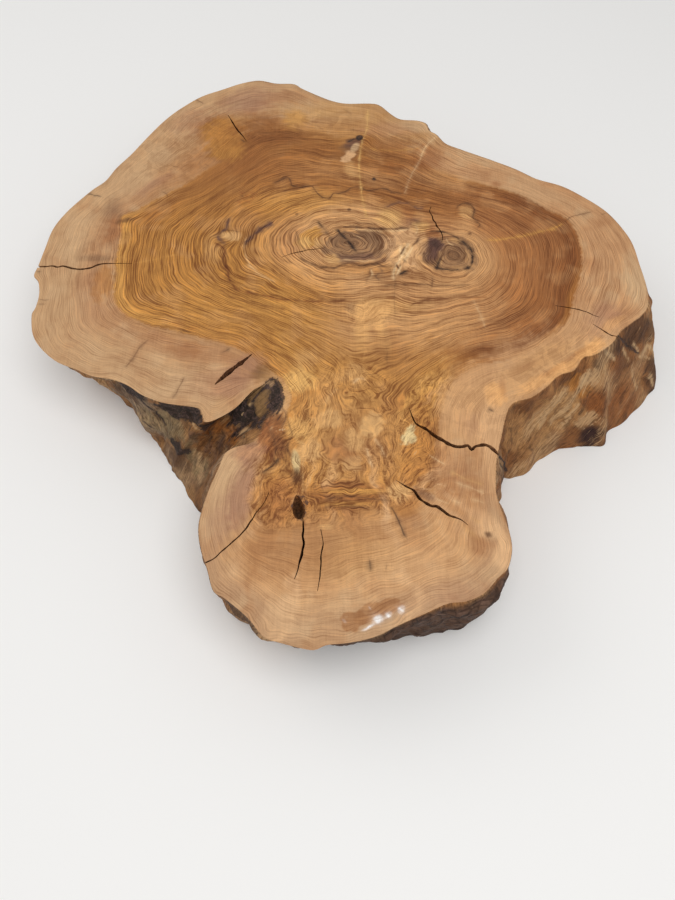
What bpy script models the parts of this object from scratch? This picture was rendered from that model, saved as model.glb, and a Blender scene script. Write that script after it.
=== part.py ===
"""Olive wood slice: one sawn cross-section of an old olive trunk, lying flat.

The slice is a loft between two unlike sections, the sawn top and the sawn underside, with the
weathered side of the trunk between them. Cracks and a knot hole are cut into it.
Lengths below are in millimetres on a plan of the top face: X to the right, Y away from the front
lobe, depth downwards from the sawn top. The part is built in metres, +Z up, standing on Z = 0,
with its origin in the middle of its plan.
"""

import math

import bmesh
import bpy
from mathutils import Vector, noise

MM = 0.001

THICKNESS = 90.0        # between the two saw cuts
RIM_STEP = 7.4          # spacing of the points round the side
WALL_DEPTHS = (0.0, 4.0, 12.0, 23.0, 36.0, 50.0, 64.0, 78.0, 90.0)
FOOT_SPREAD = 0.8       # below 1, the side leaves the edge faster near the top
RECESS_SPREAD = 0.6     # the same in the recess
BELLY = 4.0             # how far the side swells half way down
CRISP_DEPTH = 12.0      # the unevenness of the side grows to its full size over this depth

# Unevenness of the side: how wide, how tall and how strong each kind is, and where in the
# noise it is read.
FLUTES = (46.0, 170.0, 9.0, 0.0)
LUMPS = (19.0, 30.0, 6.4, 7.0)
PITS = (15.0, 20.0, 14.0, 31.0)
PIT_SHARE = 0.35        # noise above this makes a pit
LEDGE_LUMPS = (13.0, 14.0, 7.0, 5.0)
BARK_TEAR = (25.0, 900.0, 5.0, 3.0)

# The top edge, going round by the left. A row of four also says how far the foot of the side
# stands from the edge there, to the right and away; between such rows this is blended.
RIM = [
    (-90, 881, 8, 16), (-110, 876), (-130, 866), (-150, 856), (-163, 846), (-180, 829),
    (-191, 815), (-200, 801, 16, 12), (-212, 780), (-223, 760), (-236, 740), (-245, 721),
    (-256, 709), (-266, 696, 22, 4), (-280, 675), (-290, 652), (-294, 625), (-297, 603),
    (-299, 590, 28, 6), (-293, 581), (-290, 565), (-291, 550), (-293, 541, 30, 16),
    (-288, 518), (-277, 501), (-260, 486, 22, 38), (-240, 477), (-225, 470, 11, 29),
    (-205, 466), (-190, 459, 0, 8), (-178, 450), (-160, 442, -5, 1), (-145, 439),
    (-126, 436, -30, -9), (-121, 429), (-117, 421, -38, -6), (-105, 426, -47, -14),
    (-92, 436, -58, -28), (-82, 449, -66, -45), (-76, 456, -72, -54), (-68, 461, -79, -61),
    (-60, 467, -87, -69), (-54, 458, -91, -63), (-53, 442, -91, -50), (-62, 428, -81, -39),
    (-68, 410, -73, -24), (-75, 400, -65, -17), (-90, 395, -49, -15), (-98, 389, -38, -12),
    (-103, 375), (-111, 350, -13, 5),
    (-116, 322, -1, 4), (-113, 300, 3, 6), (-106, 280), (-100, 262, 6, 14), (-90, 255), (-72, 240),
    (-58, 224, 2, 27), (-45, 219), (-20, 213, 0, 42), (-8, 217), (10, 219, -4, 41),
    (30, 224), (50, 234, 2, 31), (70, 243), (88, 251, 2, 15), (103, 253), (118, 260, -2, 15),
    (130, 273), (139, 282, -8, 16), (144, 300, -8, 15), (142, 320, -5, 12), (136, 345, 0, 10),
    (136, 362), (139, 385, 17, 4), (146, 410), (150, 425, 10, -22), (155, 437),
    (162, 443, 8, -31), (175, 447), (190, 458, 3, -29), (203, 471, 9, -28),
    (218, 477, 13, -30), (228, 491, 22, -43), (240, 495, 24, -46), (257, 507, 16, -40),
    (267, 521, 27, -40), (280, 532), (290, 540, 25, -31), (299, 553, 29, -27),
    (302, 575, 9, -9), (300, 605, 6, -3), (297, 634, 8, 2), (288, 658), (276, 678, 14, 8),
    (258, 696), (236, 713, 18, 13), (210, 724), (190, 738), (165, 752, 22, 16), (130, 770),
    (117, 778, 19, 17), (108, 792), (101, 798), (98, 809, 17, 17), (88, 814), (70, 816),
    (60, 824, 15, 18), (48, 838), (38, 842), (10, 842, 12, 17), (-5, 846), (-20, 854),
    (-40, 867, 10, 17), (-50, 875), (-70, 876),
]

# The bark-filled recess between the tongue and the front lobe: its side runs out quickly below
# the top, and so makes a broken ledge.
RECESS_CENTRE = (-85, 435)
RECESS_REACH = 75.0
RECESS_CORE = 0.55      # share of its reach that is recess all through
RECESS_FACES = (-0.86, -0.51)

# The side under the front lobe that still carries bark, between these two plan directions in
# degrees seen from the middle of the lobe.
LOBE_CENTRE = (15, 330)
LOBE_REACH = 150.0
BARK_FROM, BARK_TO = -125.0, 15.0
BARK_FADE = 14.0        # degrees over which the bark thins out
BARK_PLATE = 4.5        # its thickness
BARK_TOP = (3.0, 11.0)  # it starts and is at full thickness at these depths

# Cracks: name, width at the top, depth, True where it runs out through the side, and its course,
# which ends at the side if it runs out.
CRACKS = [
    ("left_edge_crack", 4.0, 45.0, True,
     [(-203, 606), (-228, 606), (-240, 603), (-250, 599), (-261, 600), (-277, 602), (-320, 602)]),
    ("shoulder_crack", 3.2, 22.0, False, [(-120, 823), (-115, 807), (-106, 793), (-99, 780)]),
    ("tongue_slot", 7.0, 24.0, False,
     [(-117, 450), (-110, 465), (-99, 479), (-88, 488), (-79, 496)]),
    ("lobe_left_crack", 3.4, 30.0, True,
     [(-61, 343), (-70, 329), (-81, 311), (-90, 302), (-99, 291), (-126, 279)]),
    ("knot_crack", 3.4, 26.0, False,
     [(-30, 338), (-29, 320), (-30, 302), (-30, 290), (-35, 271)]),
    ("lobe_front_crack", 2.6, 16.0, False, [(-14, 318), (-12, 304), (-14, 285), (-16, 262)]),
    ("lobe_right_crack", 4.4, 24.0, False,
     [(49, 364), (62, 355), (70, 345), (83, 338), (93, 329), (103, 326), (109, 320)]),
    ("neck_crack", 6.0, 62.0, True,
     [(64, 426), (74, 417), (86, 408), (99, 397), (115, 396), (128, 398), (139, 392), (172, 402)]),
    ("eye_crack", 2.8, 14.0, False, [(98, 684), (97, 670), (101, 655), (106, 643), (105, 632)]),
    ("right_crack", 2.6, 20.0, True,
     [(209, 552), (228, 549), (241, 541), (250, 525), (264, 515), (286, 503)]),
]
CRACK_TIP = 0.35        # half width where a crack dies out
CRACK_SHALLOW = 2.0     # depth there
CRACK_FLOOR = 0.3       # width of a crack's floor, as a share of its width at the top
CRACK_TAPER = 0.3       # share of its course over which a crack opens to full width
CRACK_OPENS = 0.8       # below 1, it opens faster at the tip
CRACK_STEP = 9.0        # spacing of the points along a crack
ABOVE_TOP = 2.0         # how far a cutter stands above the sawn face

# The dark hole of a lost knot in the front lobe: middle, length, width, depth and lean.
KNOT_CENTRE = (-33, 337)
KNOT_LENGTH = 23.0
KNOT_WIDTH = 10.0
KNOT_DEPTH = 26.0
KNOT_FLOOR = 0.45       # size of its floor, as a share of its mouth
KNOT_TURN = 8.0         # degrees from the Y axis
KNOT_SIDES = 14


def catmull(points, closed, step):
    """Points about `step` apart on a smooth curve through all of `points`."""
    count = len(points)
    found = []
    for i in range(count if closed else count - 1):
        if closed:
            a, b, c, d = (points[(i + k) % count] for k in (-1, 0, 1, 2))
        else:
            a, b, c, d = (points[min(max(i + k, 0), count - 1)] for k in (-1, 0, 1, 2))
        pieces = max(1, round((c - b).length / step))
        for k in range(pieces):
            t = k / pieces
            found.append(0.5 * (2 * b + (c - a) * t + (2 * a - 5 * b + 4 * c - d) * t * t
                                + (3 * b - a - 3 * c + d) * t ** 3))
    if not closed:
        found.append(points[-1].copy())
    return found


def foot_shifts():
    """The foot's distance from the edge at every row of RIM, blended where a row has none."""
    count = len(RIM)
    spots = [Vector(row[:2]) for row in RIM]
    gaps = [(spots[(i + 1) % count] - spots[i]).length for i in range(count)]
    stated = [i for i, row in enumerate(RIM) if len(row) == 4]
    shifts = [None] * count
    for here, there in zip(stated, stated[1:] + [stated[0] + count]):
        start, end = Vector(RIM[here][2:]), Vector(RIM[there % count][2:])
        whole = sum(gaps[i % count] for i in range(here, there))
        gone = 0.0
        for i in range(here, there):
            shifts[i % count] = start.lerp(end, gone / whole)
            gone += gaps[i % count]
    return shifts


def smoothstep(low, high, value):
    t = min(max((value - low) / (high - low), 0.0), 1.0)
    return t * t * (3 - 2 * t)


def outward(loop, i):
    """The way out of the plan at point i of a closed loop that runs by the left."""
    along = loop[(i + 1) % len(loop)] - loop[i - 1]
    return Vector((along.y, -along.x)).normalized()


def in_recess(spot):
    reach = (spot - Vector(RECESS_CENTRE)).length
    return 1.0 - smoothstep(RECESS_CORE * RECESS_REACH, RECESS_REACH, reach)


def has_bark(spot):
    """1 on the side under the front lobe that carries bark, 0 elsewhere."""
    arm = spot - Vector(LOBE_CENTRE)
    turn = math.degrees(math.atan2(arm.y, arm.x))
    if arm.length > LOBE_REACH or not BARK_FROM < turn < BARK_TO:
        return 0.0
    return smoothstep(0.0, BARK_FADE, min(turn - BARK_FROM, BARK_TO - turn))


def uneven(kind, spot, depth):
    wide, tall, strong, place_in_noise = kind
    return strong * noise.noise(Vector((spot.x / wide, spot.y / wide + place_in_noise,
                                        depth / tall)))


def relief(spot, depth, recess):
    """How far the side stands out of its plain loft, in mm."""
    share = depth / THICKNESS
    out = BELLY * 4 * share * (1 - share)
    out += uneven(FLUTES, spot, depth) + uneven(LUMPS, spot, depth)
    out -= max(0.0, uneven(PITS, spot, depth) - PITS[2] * PIT_SHARE)
    out += recess * uneven(LEDGE_LUMPS, spot, depth)
    torn = depth + uneven(BARK_TEAR, spot, depth)
    out += BARK_PLATE * has_bark(spot) * smoothstep(*BARK_TOP, torn)
    return out * smoothstep(0.0, CRISP_DEPTH, depth)


def wall_rings():
    """The side's plan at each depth, as lists of points that match from ring to ring."""
    rows = [Vector((*row[:2], *shift)) for row, shift in zip(RIM, foot_shifts())]
    loop = catmull(rows, True, RIM_STEP)
    rim = [Vector(row[:2]) for row in loop]
    rings = []
    for depth in WALL_DEPTHS:
        plain = []
        for row, edge in zip(loop, rim):
            spread = FOOT_SPREAD + (RECESS_SPREAD - FOOT_SPREAD) * in_recess(edge)
            plain.append(edge + Vector(row[2:]) * (depth / THICKNESS) ** spread)
        ring = []
        for i, spot in enumerate(plain):
            recess = in_recess(rim[i])
            way = outward(plain, i).lerp(Vector(RECESS_FACES), recess)
            ring.append(spot + way * relief(spot, depth, recess))
        rings.append(ring)
    return rings


def plan_middle(rings):
    spots = [spot for ring in rings for spot in ring]
    xs = [spot.x for spot in spots]
    ys = [spot.y for spot in spots]
    return Vector(((min(xs) + max(xs)) / 2, (min(ys) + max(ys)) / 2))


def place(spot, depth, middle):
    """A point of the plan, at a depth, in the part's own frame in metres."""
    return Vector((spot.x - middle.x, spot.y - middle.y, THICKNESS - depth)) * MM


def new_object(name, mesh, collection):
    made = bpy.data.objects.new(name, mesh)
    collection.objects.link(made)
    return made


def new_collection(name):
    made = bpy.data.collections.new(name)
    bpy.context.scene.collection.children.link(made)
    return made


def loft(name, rings):
    """A closed mesh through matching rings of points, with a flat cap on the first and last."""
    mesh = bmesh.new()
    rows = [[mesh.verts.new(spot) for spot in ring] for ring in rings]
    count = len(rows[0])
    for upper, lower in zip(rows, rows[1:]):
        for i in range(count):
            k = (i + 1) % count
            mesh.faces.new((upper[i], lower[i], lower[k], upper[k]))
    mesh.faces.new(rows[0])
    mesh.faces.new(rows[-1][::-1])
    bmesh.ops.recalc_face_normals(mesh, faces=mesh.faces)
    data = bpy.data.meshes.new(name)
    mesh.to_mesh(data)
    mesh.free()
    return data


def olive_wood():
    """Sanded, unvarnished olive heartwood: warm mid brown with a soft sheen."""
    wood = bpy.data.materials.new("olive_wood")
    wood.use_nodes = True
    shader = wood.node_tree.nodes["Principled BSDF"]
    shader.inputs["Base Color"].default_value = (0.445, 0.212, 0.085, 1.0)
    shader.inputs["Roughness"].default_value = 0.55
    shader.inputs["Metallic"].default_value = 0.0
    return wood


def crack_mesh(name, width, depth, runs_out, course, middle):
    """A wedge along a crack's course, as wide as the crack at the sawn face."""
    line = catmull([Vector(spot) for spot in course], False, CRACK_STEP)
    rings = []
    for i, spot in enumerate(line):
        along = line[min(i + 1, len(line) - 1)] - line[max(i - 1, 0)]
        side = Vector((along.y, -along.x)).normalized()
        share = i / (len(line) - 1)
        left = share if runs_out else min(share, 1 - share)
        opening = min(1.0, left / CRACK_TAPER) ** CRACK_OPENS
        half = max(CRACK_TIP, opening * width / 2)
        floor = max(CRACK_SHALLOW, opening * depth)
        mouth = half * (1 + ABOVE_TOP / floor)
        rings.append([
            place(spot - side * mouth, -ABOVE_TOP, middle),
            place(spot + side * mouth, -ABOVE_TOP, middle),
            place(spot + side * half * CRACK_FLOOR, floor, middle),
            place(spot - side * half * CRACK_FLOOR, floor, middle),
        ])
    return loft(name, rings)


def knot_mesh():
    """An oval pit that narrows downwards, from a cone with its tip cut off."""
    mesh = bmesh.new()
    bmesh.ops.create_cone(mesh, cap_ends=True, segments=KNOT_SIDES, radius1=KNOT_FLOOR * MM / 2,
                          radius2=MM / 2, depth=(KNOT_DEPTH + ABOVE_TOP) * MM)
    bmesh.ops.scale(mesh, vec=(KNOT_WIDTH, KNOT_LENGTH, 1.0), verts=mesh.verts)
    data = bpy.data.meshes.new("knot_hole")
    mesh.to_mesh(data)
    mesh.free()
    return data


def cut(slab, cutter):
    cutter.hide_render = True
    cutter.display_type = "WIRE"
    modifier = slab.modifiers.new(cutter.name, "BOOLEAN")
    modifier.operation = "DIFFERENCE"
    modifier.solver = "EXACT"
    modifier.object = cutter


def main():
    for old in list(bpy.data.objects):
        bpy.data.objects.remove(old, do_unlink=True)
    parts = new_collection("olive_wood_slice")
    cutters = new_collection("cracks_and_holes")

    rings = wall_rings()
    middle = plan_middle(rings)
    placed = [[place(spot, depth, middle) for spot in ring]
              for ring, depth in zip(rings, WALL_DEPTHS)]
    slab = new_object("olive_slice", loft("olive_slice", placed), parts)
    slab.data.materials.append(olive_wood())

    for name, width, depth, runs_out, course in CRACKS:
        mesh = crack_mesh(name, width, depth, runs_out, course, middle)
        cut(slab, new_object(name, mesh, cutters))

    knot = new_object("knot_hole", knot_mesh(), cutters)
    knot.location = place(Vector(KNOT_CENTRE), (KNOT_DEPTH - ABOVE_TOP) / 2, middle)
    knot.rotation_euler.z = math.radians(KNOT_TURN)
    cut(slab, knot)


main()
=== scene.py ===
# Olive wood slice: one sawn cross-section of an old olive trunk. Its top is sanded and its side is
# left as it grew, with cracks, a burr in the front lobe and some bark.
# Lengths are millimetres on a plan of the sawn top: X to the right, Y away from the front lobe, and
# depth down from the saw cut. They turn into metres where the mesh, lights and camera are made.

import math
from functools import partial

import bpy
import numpy as np
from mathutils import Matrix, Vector, noise
from mathutils.geometry import delaunay_2d_cdt
from mathutils.kdtree import KDTree


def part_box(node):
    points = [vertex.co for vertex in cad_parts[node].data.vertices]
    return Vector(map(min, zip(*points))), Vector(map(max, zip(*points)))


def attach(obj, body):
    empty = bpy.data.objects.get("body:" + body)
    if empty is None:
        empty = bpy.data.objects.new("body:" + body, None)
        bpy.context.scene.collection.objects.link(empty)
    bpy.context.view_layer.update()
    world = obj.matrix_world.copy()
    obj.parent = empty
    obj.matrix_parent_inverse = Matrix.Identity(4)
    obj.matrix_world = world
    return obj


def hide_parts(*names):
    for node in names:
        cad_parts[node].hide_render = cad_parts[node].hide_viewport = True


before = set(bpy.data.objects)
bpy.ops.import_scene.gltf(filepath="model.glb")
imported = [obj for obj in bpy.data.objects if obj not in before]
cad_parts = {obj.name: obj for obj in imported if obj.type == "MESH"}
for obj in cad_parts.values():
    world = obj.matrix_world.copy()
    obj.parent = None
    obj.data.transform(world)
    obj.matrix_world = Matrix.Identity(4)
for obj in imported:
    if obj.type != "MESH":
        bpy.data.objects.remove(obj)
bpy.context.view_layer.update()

mm = 0.001

slab = {
    "thickness": 90.0,
    "planMiddle": (14.4, 557.1),    # where the part has its origin on this plan
    "rimStep": 2.6,         # between points round the edge
    "notchStep": 1.4,       # and round the notch, given as its middle and reach
    "notch": (-80, 435, 58),
    "topStep": 2.6,         # between points on the sawn top
    "underStep": 9.0,       # and on the underside
    "fineAreas": [          # middle, half width, half height and the closer step there
        (28, 241, 31, 19, 0.95), (17, 765, 16, 28, 1.3), (42, 632, 102, 52, 1.5),
        (-72, 445, 26, 36, 1.3), (8, 400, 88, 76, 1.75)],
    "wallRows": 35,         # rows of points down the side
    "rowPower": 1.5,        # above 1, the rows lie closer near the top
    "rowRoom": 0.03,        # under a crack's mouth they keep this share of its depth apart
    "markRoom": 1.1,        # least room between points along the thin marks,
    "gridRoom": 0.63, "underRoom": 0.6,     # and in the grids, as a share of their step
    "edgeWear": 0.9,        # how far sanding has rounded the top edge
    "wearDepth": 1.6,
    "sharpAngle": 38.0,     # edges turning more than this many degrees stay crisp
}

side = {
    "footSpread": 0.8, "recessSpread": 0.6,     # below 1, the side reaches its foot sooner
    "belly": 0.6, "crispDepth": 12.0,   # it bulges a little, and is plain next to the top edge
    # unevenness: how wide, how tall, how strong, and its place in the noise
    "flutes": (46.0, 170.0, 9.0, 0.0), "lumps": (19.0, 30.0, 6.4, 7.0),
    "pits": (15.0, 20.0, 14.0, 31.0), "pitShare": 0.35,     # what is below this share is left out
    "ledgeLumps": (13.0, 14.0, 7.0, 5.0), "barkTear": (25.0, 900.0, 5.0, 3.0),
    "ripples": (6.5, 26.0, 1.5, 43.0), "grit": (3.2, 4.5, 0.8, 57.0),
    "barkScales": (16.0, 5.0, 2.0, 71.0), "clods": (8.0, 9.0, 4.2, 91.0), "clodDepth": (60, 25),
    # where it is calmer: at the foot of the recess, low down, and on part of the right wall
    "footCalm": 0.75, "footCalmDepth": (20, 55), "fineCalm": 0.8, "fineCalmDepth": (55, 86),
    "calmCentre": (245, 490), "calmReach": (120.0, 60.0), "calmShare": 0.55,
    # the recess behind the notch, and the way that its side faces
    "recessCentre": (-85, 435), "recessReach": 75.0, "recessCore": 0.55, "recessFaces": (-0.86, -0.51),
    # bark is left under the lobe, between these directions in degrees
    "lobeCentre": (15, 330), "lobeReach": 150.0, "barkFrom": -125.0, "barkTo": 0.0,
    "barkFade": 14.0, "barkPlate": 4.5, "barkTop": (1.5, 7.0),
    "turnReach": 3,         # the side faces across this many points to each hand
}

# The top edge, going round by the left. A row of four also says how far the foot of the side
# stands from the edge there, to the right and away; between such rows this is blended.
rimRows = [
    (-90, 881, 8, 16), (-110, 876), (-130, 866), (-150, 856), (-163, 846), (-180, 829),
    (-191, 815), (-200, 801, 16, 12), (-212, 780), (-223, 760), (-236, 740), (-245, 721),
    (-256, 709), (-266, 696, 22, 4), (-280, 675), (-290, 652), (-294, 625), (-297, 603),
    (-299, 590, 28, 6), (-293, 581), (-290, 565), (-291, 550), (-293, 541, 30, 16),
    (-288, 518), (-277, 501), (-260, 486, 22, 38), (-240, 477), (-225, 470, 11, 29),
    (-205, 466), (-190, 459, 0, 8), (-178, 450), (-160, 442, -12, 2), (-145, 439),
    (-126, 436, -39, -6), (-121, 429), (-117, 421, -43, 1), (-105, 426, -51, -7),
    (-92, 436, -61, -23), (-82, 449, -68, -39), (-76, 456, -72, -50), (-68, 461, -78, -58),
    (-60, 467, -85, -67), (-54, 458, -89, -62), (-53, 442, -88, -50), (-62, 428, -77, -40),
    (-68, 410, -69, -26), (-75, 400, -60, -19), (-90, 395, -43, -17), (-98, 389, -32, -15),
    (-103, 375), (-111, 350, -8, 9), (-116, 322, 0, 6), (-113, 300, 2, 8), (-106, 280),
    (-100, 262, 3, 19), (-90, 255), (-72, 240), (-58, 224, 3, 27), (-45, 219), (-20, 213, 0, 42),
    (-8, 217), (10, 219, -4, 41), (30, 224), (50, 234, 2, 27), (70, 243), (88, 251, 2, 11),
    (103, 253), (118, 260, 0, 12), (130, 273), (139, 282, -6, 14), (144, 300, -4, 15),
    (142, 320, -3, 12), (136, 345, 0, 10), (136, 362), (139, 385, 17, 4), (146, 410),
    (150, 425, 10, -22), (155, 437), (162, 443, 8, -31), (175, 447), (190, 458, 3, -29),
    (203, 471, 9, -28), (218, 477, 14, -27), (228, 491, 23, -41), (240, 495, 24, -45),
    (257, 507, 16, -40), (267, 521, 27, -40), (280, 532), (290, 540, 27, -31), (299, 553, 27, -28),
    (302, 575, -4, -14), (300, 605, -11, -4), (297, 634, -8, 2), (288, 658), (276, 678, 14, 8),
    (258, 696), (236, 713, 18, 13), (210, 724), (190, 738), (165, 752, 22, 16), (130, 770),
    (117, 778, 19, 17), (108, 792), (101, 798), (98, 809, 17, 17), (88, 814), (70, 816),
    (60, 824, 15, 18), (48, 838), (38, 842), (10, 842, 12, 17), (-5, 846), (-20, 854),
    (-40, 867, 10, 17), (-50, 875), (-70, 876),
]


def catmull(rows, closed, step):
    # rows about one step apart on a smooth curve through all rows
    rows = np.array(rows, float)
    count = len(rows)
    found = []
    for i in range(count if closed else count - 1):
        ends = [i - 1, i, i + 1, i + 2]
        ends = [k % count for k in ends] if closed else [min(max(k, 0), count - 1) for k in ends]
        a, b, c, d = rows[ends]
        pieces = max(1, round(float(np.linalg.norm(c - b)) / step))
        t = (np.arange(pieces) / pieces)[:, None]
        found.append(0.5 * (2 * b + (c - a) * t + (2 * a - 5 * b + 4 * c - d) * t ** 2
                            + (3 * b - a - 3 * c + d) * t ** 3))
    if not closed:
        found.append(rows[-1:])
    return np.concatenate(found)


def footShifts(rows):
    # the foot's distance from the edge at every rim row, blended where a row has none
    spots = np.array([row[:2] for row in rows], float)
    count = len(rows)
    gaps = np.linalg.norm(np.roll(spots, -1, 0) - spots, axis=1)
    stated = [i for i, row in enumerate(rows) if len(row) == 4]
    shifts = np.zeros((count, 2))
    for here, there in zip(stated, stated[1:] + [stated[0] + count]):
        start, end = np.array(rows[here][2:]), np.array(rows[there % count][2:])
        whole = sum(gaps[i % count] for i in range(here, there))
        gone = 0.0
        for i in range(here, there):
            shifts[i % count] = start + (end - start) * gone / whole
            gone += gaps[i % count]
    return shifts


def smooth(low, high, value):
    t = np.clip((value - low) / (high - low), 0, 1)
    return t * t * (3 - 2 * t)


def noiseAt(*parts):
    # smooth noise, about -1 to 1, at points given as three arrays
    x, y, z = np.broadcast_arrays(*parts)
    return np.array([noise.noise(spot) for spot in zip(x.tolist(), y.tolist(), z.tolist())])


def uneven(kind, spots, depths):
    wide, tall, strong, seat = side[kind]
    return strong * noiseAt(spots[:, 0] / wide, spots[:, 1] / wide + seat, depths / tall)


def inRecess(spots):
    reach = np.linalg.norm(spots - side["recessCentre"], axis=1)
    return 1 - smooth(side["recessCore"] * side["recessReach"], side["recessReach"], reach)


def hasBark(spots):
    # 1 on the side under the front lobe that carries bark
    arm = spots - side["lobeCentre"]
    turn = np.degrees(np.arctan2(arm[:, 1], arm[:, 0]))
    within = np.minimum(turn - side["barkFrom"], side["barkTo"] - turn)
    near = np.linalg.norm(arm, axis=1) <= side["lobeReach"]
    return near * smooth(0, side["barkFade"], within)


def relief(spots, depths, recess):
    # how far the side stands out of its plain loft
    share = depths / slab["thickness"]
    bark = hasBark(spots)
    out = side["belly"] * 4 * share * (1 - share)
    out = out + uneven("flutes", spots, depths) + uneven("lumps", spots, depths)
    out -= np.maximum(0, uneven("pits", spots, depths) - side["pits"][2] * side["pitShare"])
    out += recess * uneven("ledgeLumps", spots, depths)
    out *= 1 - side["footCalm"] * recess * smooth(*side["footCalmDepth"], depths)
    torn = depths + uneven("barkTear", spots, depths)
    out += side["barkPlate"] * bark * smooth(*side["barkTop"], torn)
    calm = 1 - side["fineCalm"] * smooth(*side["fineCalmDepth"], depths)
    out += calm * (uneven("ripples", spots, depths) + uneven("grit", spots, depths))
    near = smooth(*side["calmReach"], np.linalg.norm(spots - side["calmCentre"], axis=1))
    out *= 1 - side["calmShare"] * near
    out -= calm * bark * np.abs(uneven("barkScales", spots, depths))
    out += recess * smooth(*side["clodDepth"], depths) * uneven("clods", spots, depths)
    return out * smooth(0, side["crispDepth"], depths)


def wallRing(rows, depths):
    # the side's plan at the depths given, one for each rim row
    edge = rows[:, :2]
    recess = inRecess(edge)
    spread = side["footSpread"] + (side["recessSpread"] - side["footSpread"]) * recess
    plain = edge + rows[:, 2:] * ((depths / slab["thickness"]) ** spread)[:, None]
    reach = side["turnReach"]
    along = np.roll(plain, -reach, 0) - np.roll(plain, reach, 0)
    way = np.stack([along[:, 1], -along[:, 0]], 1)
    way /= np.linalg.norm(way, axis=1, keepdims=True)
    way += (np.array(side["recessFaces"]) - way) * recess[:, None]
    out = relief(plain, depths, recess)
    out -= slab["edgeWear"] * np.clip(1 - depths / slab["wearDepth"], 0, 1) ** 2
    return plain + way * out[:, None]


# Cracks: width at the saw cut, depth, whether it runs out through the side, and its course, which
# then ends past the edge.
cracks = {
    "leftEdge": (2.0, 45.0, True, [
        (-203, 606), (-228, 606), (-238, 604), (-243, 601), (-249, 599), (-260, 599), (-266, 601),
        (-272, 602.5), (-277, 601.5), (-283, 602.5), (-296, 602), (-320, 602)]),
    "shoulder": (1.7, 22.0, False, [
        (-122, 823), (-118, 815), (-112, 803), (-106, 793), (-101, 784), (-99, 780)]),
    "tongueSlot": (4.8, 13.0, False, [
        (-112, 461), (-107, 467), (-100, 475), (-93, 482), (-86, 489), (-79, 496)]),
    "lobeLeft": (1.3, 30.0, True, [
        (-58, 352), (-62, 341), (-68, 332), (-74, 321), (-80, 312), (-89, 303), (-95, 297),
        (-100, 291), (-108, 287), (-126, 279)]),
    "knot": (1.9, 26.0, False, [
        (-29, 329), (-28.5, 316), (-29, 310), (-28, 302), (-30, 290), (-32, 281), (-35, 272)]),
    "lobeFront": (1.1, 10.0, False, [
        (-14, 317), (-12, 305), (-13.5, 290), (-14, 275), (-16, 262)]),
    "lobeRight": (2.5, 24.0, False, [
        (50, 363), (58, 357), (65, 353), (70, 345), (78, 339), (84, 338), (90, 332), (95, 329),
        (100, 327), (104, 325), (109, 320)]),
    "neck": (3.2, 62.0, True, [
        (64, 437), (69, 421), (78, 414), (85, 408), (93, 402), (98, 398), (105, 396), (110, 396),
        (114, 397), (117, 393), (121, 396), (128, 398), (133, 396), (138, 391), (145, 386),
        (160, 378)]),
    "rightEye": (1.5, 14.0, False, [
        (97, 684), (95, 677), (97, 670), (98, 664), (100, 660), (101, 656), (104, 650), (106, 642),
        (105, 634)]),
    "leftEye": (1.0, 8.0, False, [
        (-56, 614), (-48, 618), (-40, 621), (-30, 624), (-22, 625), (-12, 627)]),
    "rightInner": (1.2, 14.0, False, [(209, 553), (228, 549), (237, 546), (245, 541), (250, 539)]),
    "rightEdge": (1.4, 20.0, True, [
        (242, 531), (250, 524), (257, 518), (263, 516), (267, 510), (276, 500)]),
}
crackForm = {
    "step": 1.7,            # between points along a crack
    "taper": 0.3,           # share of its course over which it opens to full width
    "opens": 0.8,           # below 1, it opens faster at the tip
    "ragged": 0.4, "raggedLength": 4.0,     # how unevenly wide it is
    "wander": 0.7, "wanderLength": 7.0,     # how far it strays from its course
    "lip": 0.85,            # the fall begins at this share of its half width
    "tip": 0.3,             # half width where it starts
    "clear": 0.9,           # room kept from other points of the mesh
    "room": 8.0,            # further away than this, a spot has nothing to do with a crack
    "inside": 0.4,          # a face that reaches deeper than this is the inside of a crack
    "mouthDepth": 4.0,      # where it runs out its floor rises to this,
    "mouthRise": 0.5,       # at this slope,
    "mouthRoom": 5.0,       # and its last point stands this far inside the edge
    "sideGroove": 4.5,      # from there it runs down the side as a groove this deep,
    "grooveStart": 9.0,     # which takes this far to reach its depth,
    "grooveFades": 0.4, "shadeFades": 0.7,   # and fades, and its painted shade too, from this share on
}

# The dark hole of a lost knot in the front lobe, pointed at its far end.
knotHole = {
    "middle": (-33, 337), "halfWidth": 5.0, "halfLength": 11.5, "turn": 8.0, "pointed": 0.35,
    "depth": 11.0, "rings": (1.0, 0.85, 0.55, 0.25), "sides": 26,
    "lip": 0.96, "floor": 0.45,     # shares of its mouth between which it falls
    "clear": 1.15,                  # no other points of the mesh within this share
}


def toLine(spots, line):
    # distance of each spot from a line, and how many points along the line it is nearest
    best = np.full(len(spots), 1e9)
    where = np.zeros(len(spots))
    for i in range(len(line) - 1):
        start, run = line[i], line[i + 1] - line[i]
        t = np.clip(((spots - start) @ run) / max(run @ run, 1e-9), 0, 1)
        gap = np.linalg.norm(spots - start - t[:, None] * run, axis=1)
        nearer = gap < best
        best[nearer] = gap[nearer]
        where[nearer] = i + t[nearer]
    return best, where


def nearLine(spots, line, room):
    # the spots whose distance from a line is worth working out
    return np.all((spots > line.min(0) - room) & (spots < line.max(0) + room), axis=1)


def insideLoop(spots, loop):
    x, y = spots.T
    found = np.zeros(len(spots), bool)
    for (x0, y0), (x1, y1) in zip(loop, np.roll(loop, -1, 0)):
        if y0 != y1:
            found ^= ((y0 > y) != (y1 > y)) & (x < (x1 - x0) * (y - y0) / (y1 - y0) + x0)
    return found


def sideways(line):
    # the unit vector to the right of a line, at each of its points
    along = np.gradient(line, axis=0)
    right = np.stack([along[:, 1], -along[:, 0]], 1)
    return right / np.linalg.norm(right, axis=1, keepdims=True)


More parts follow.
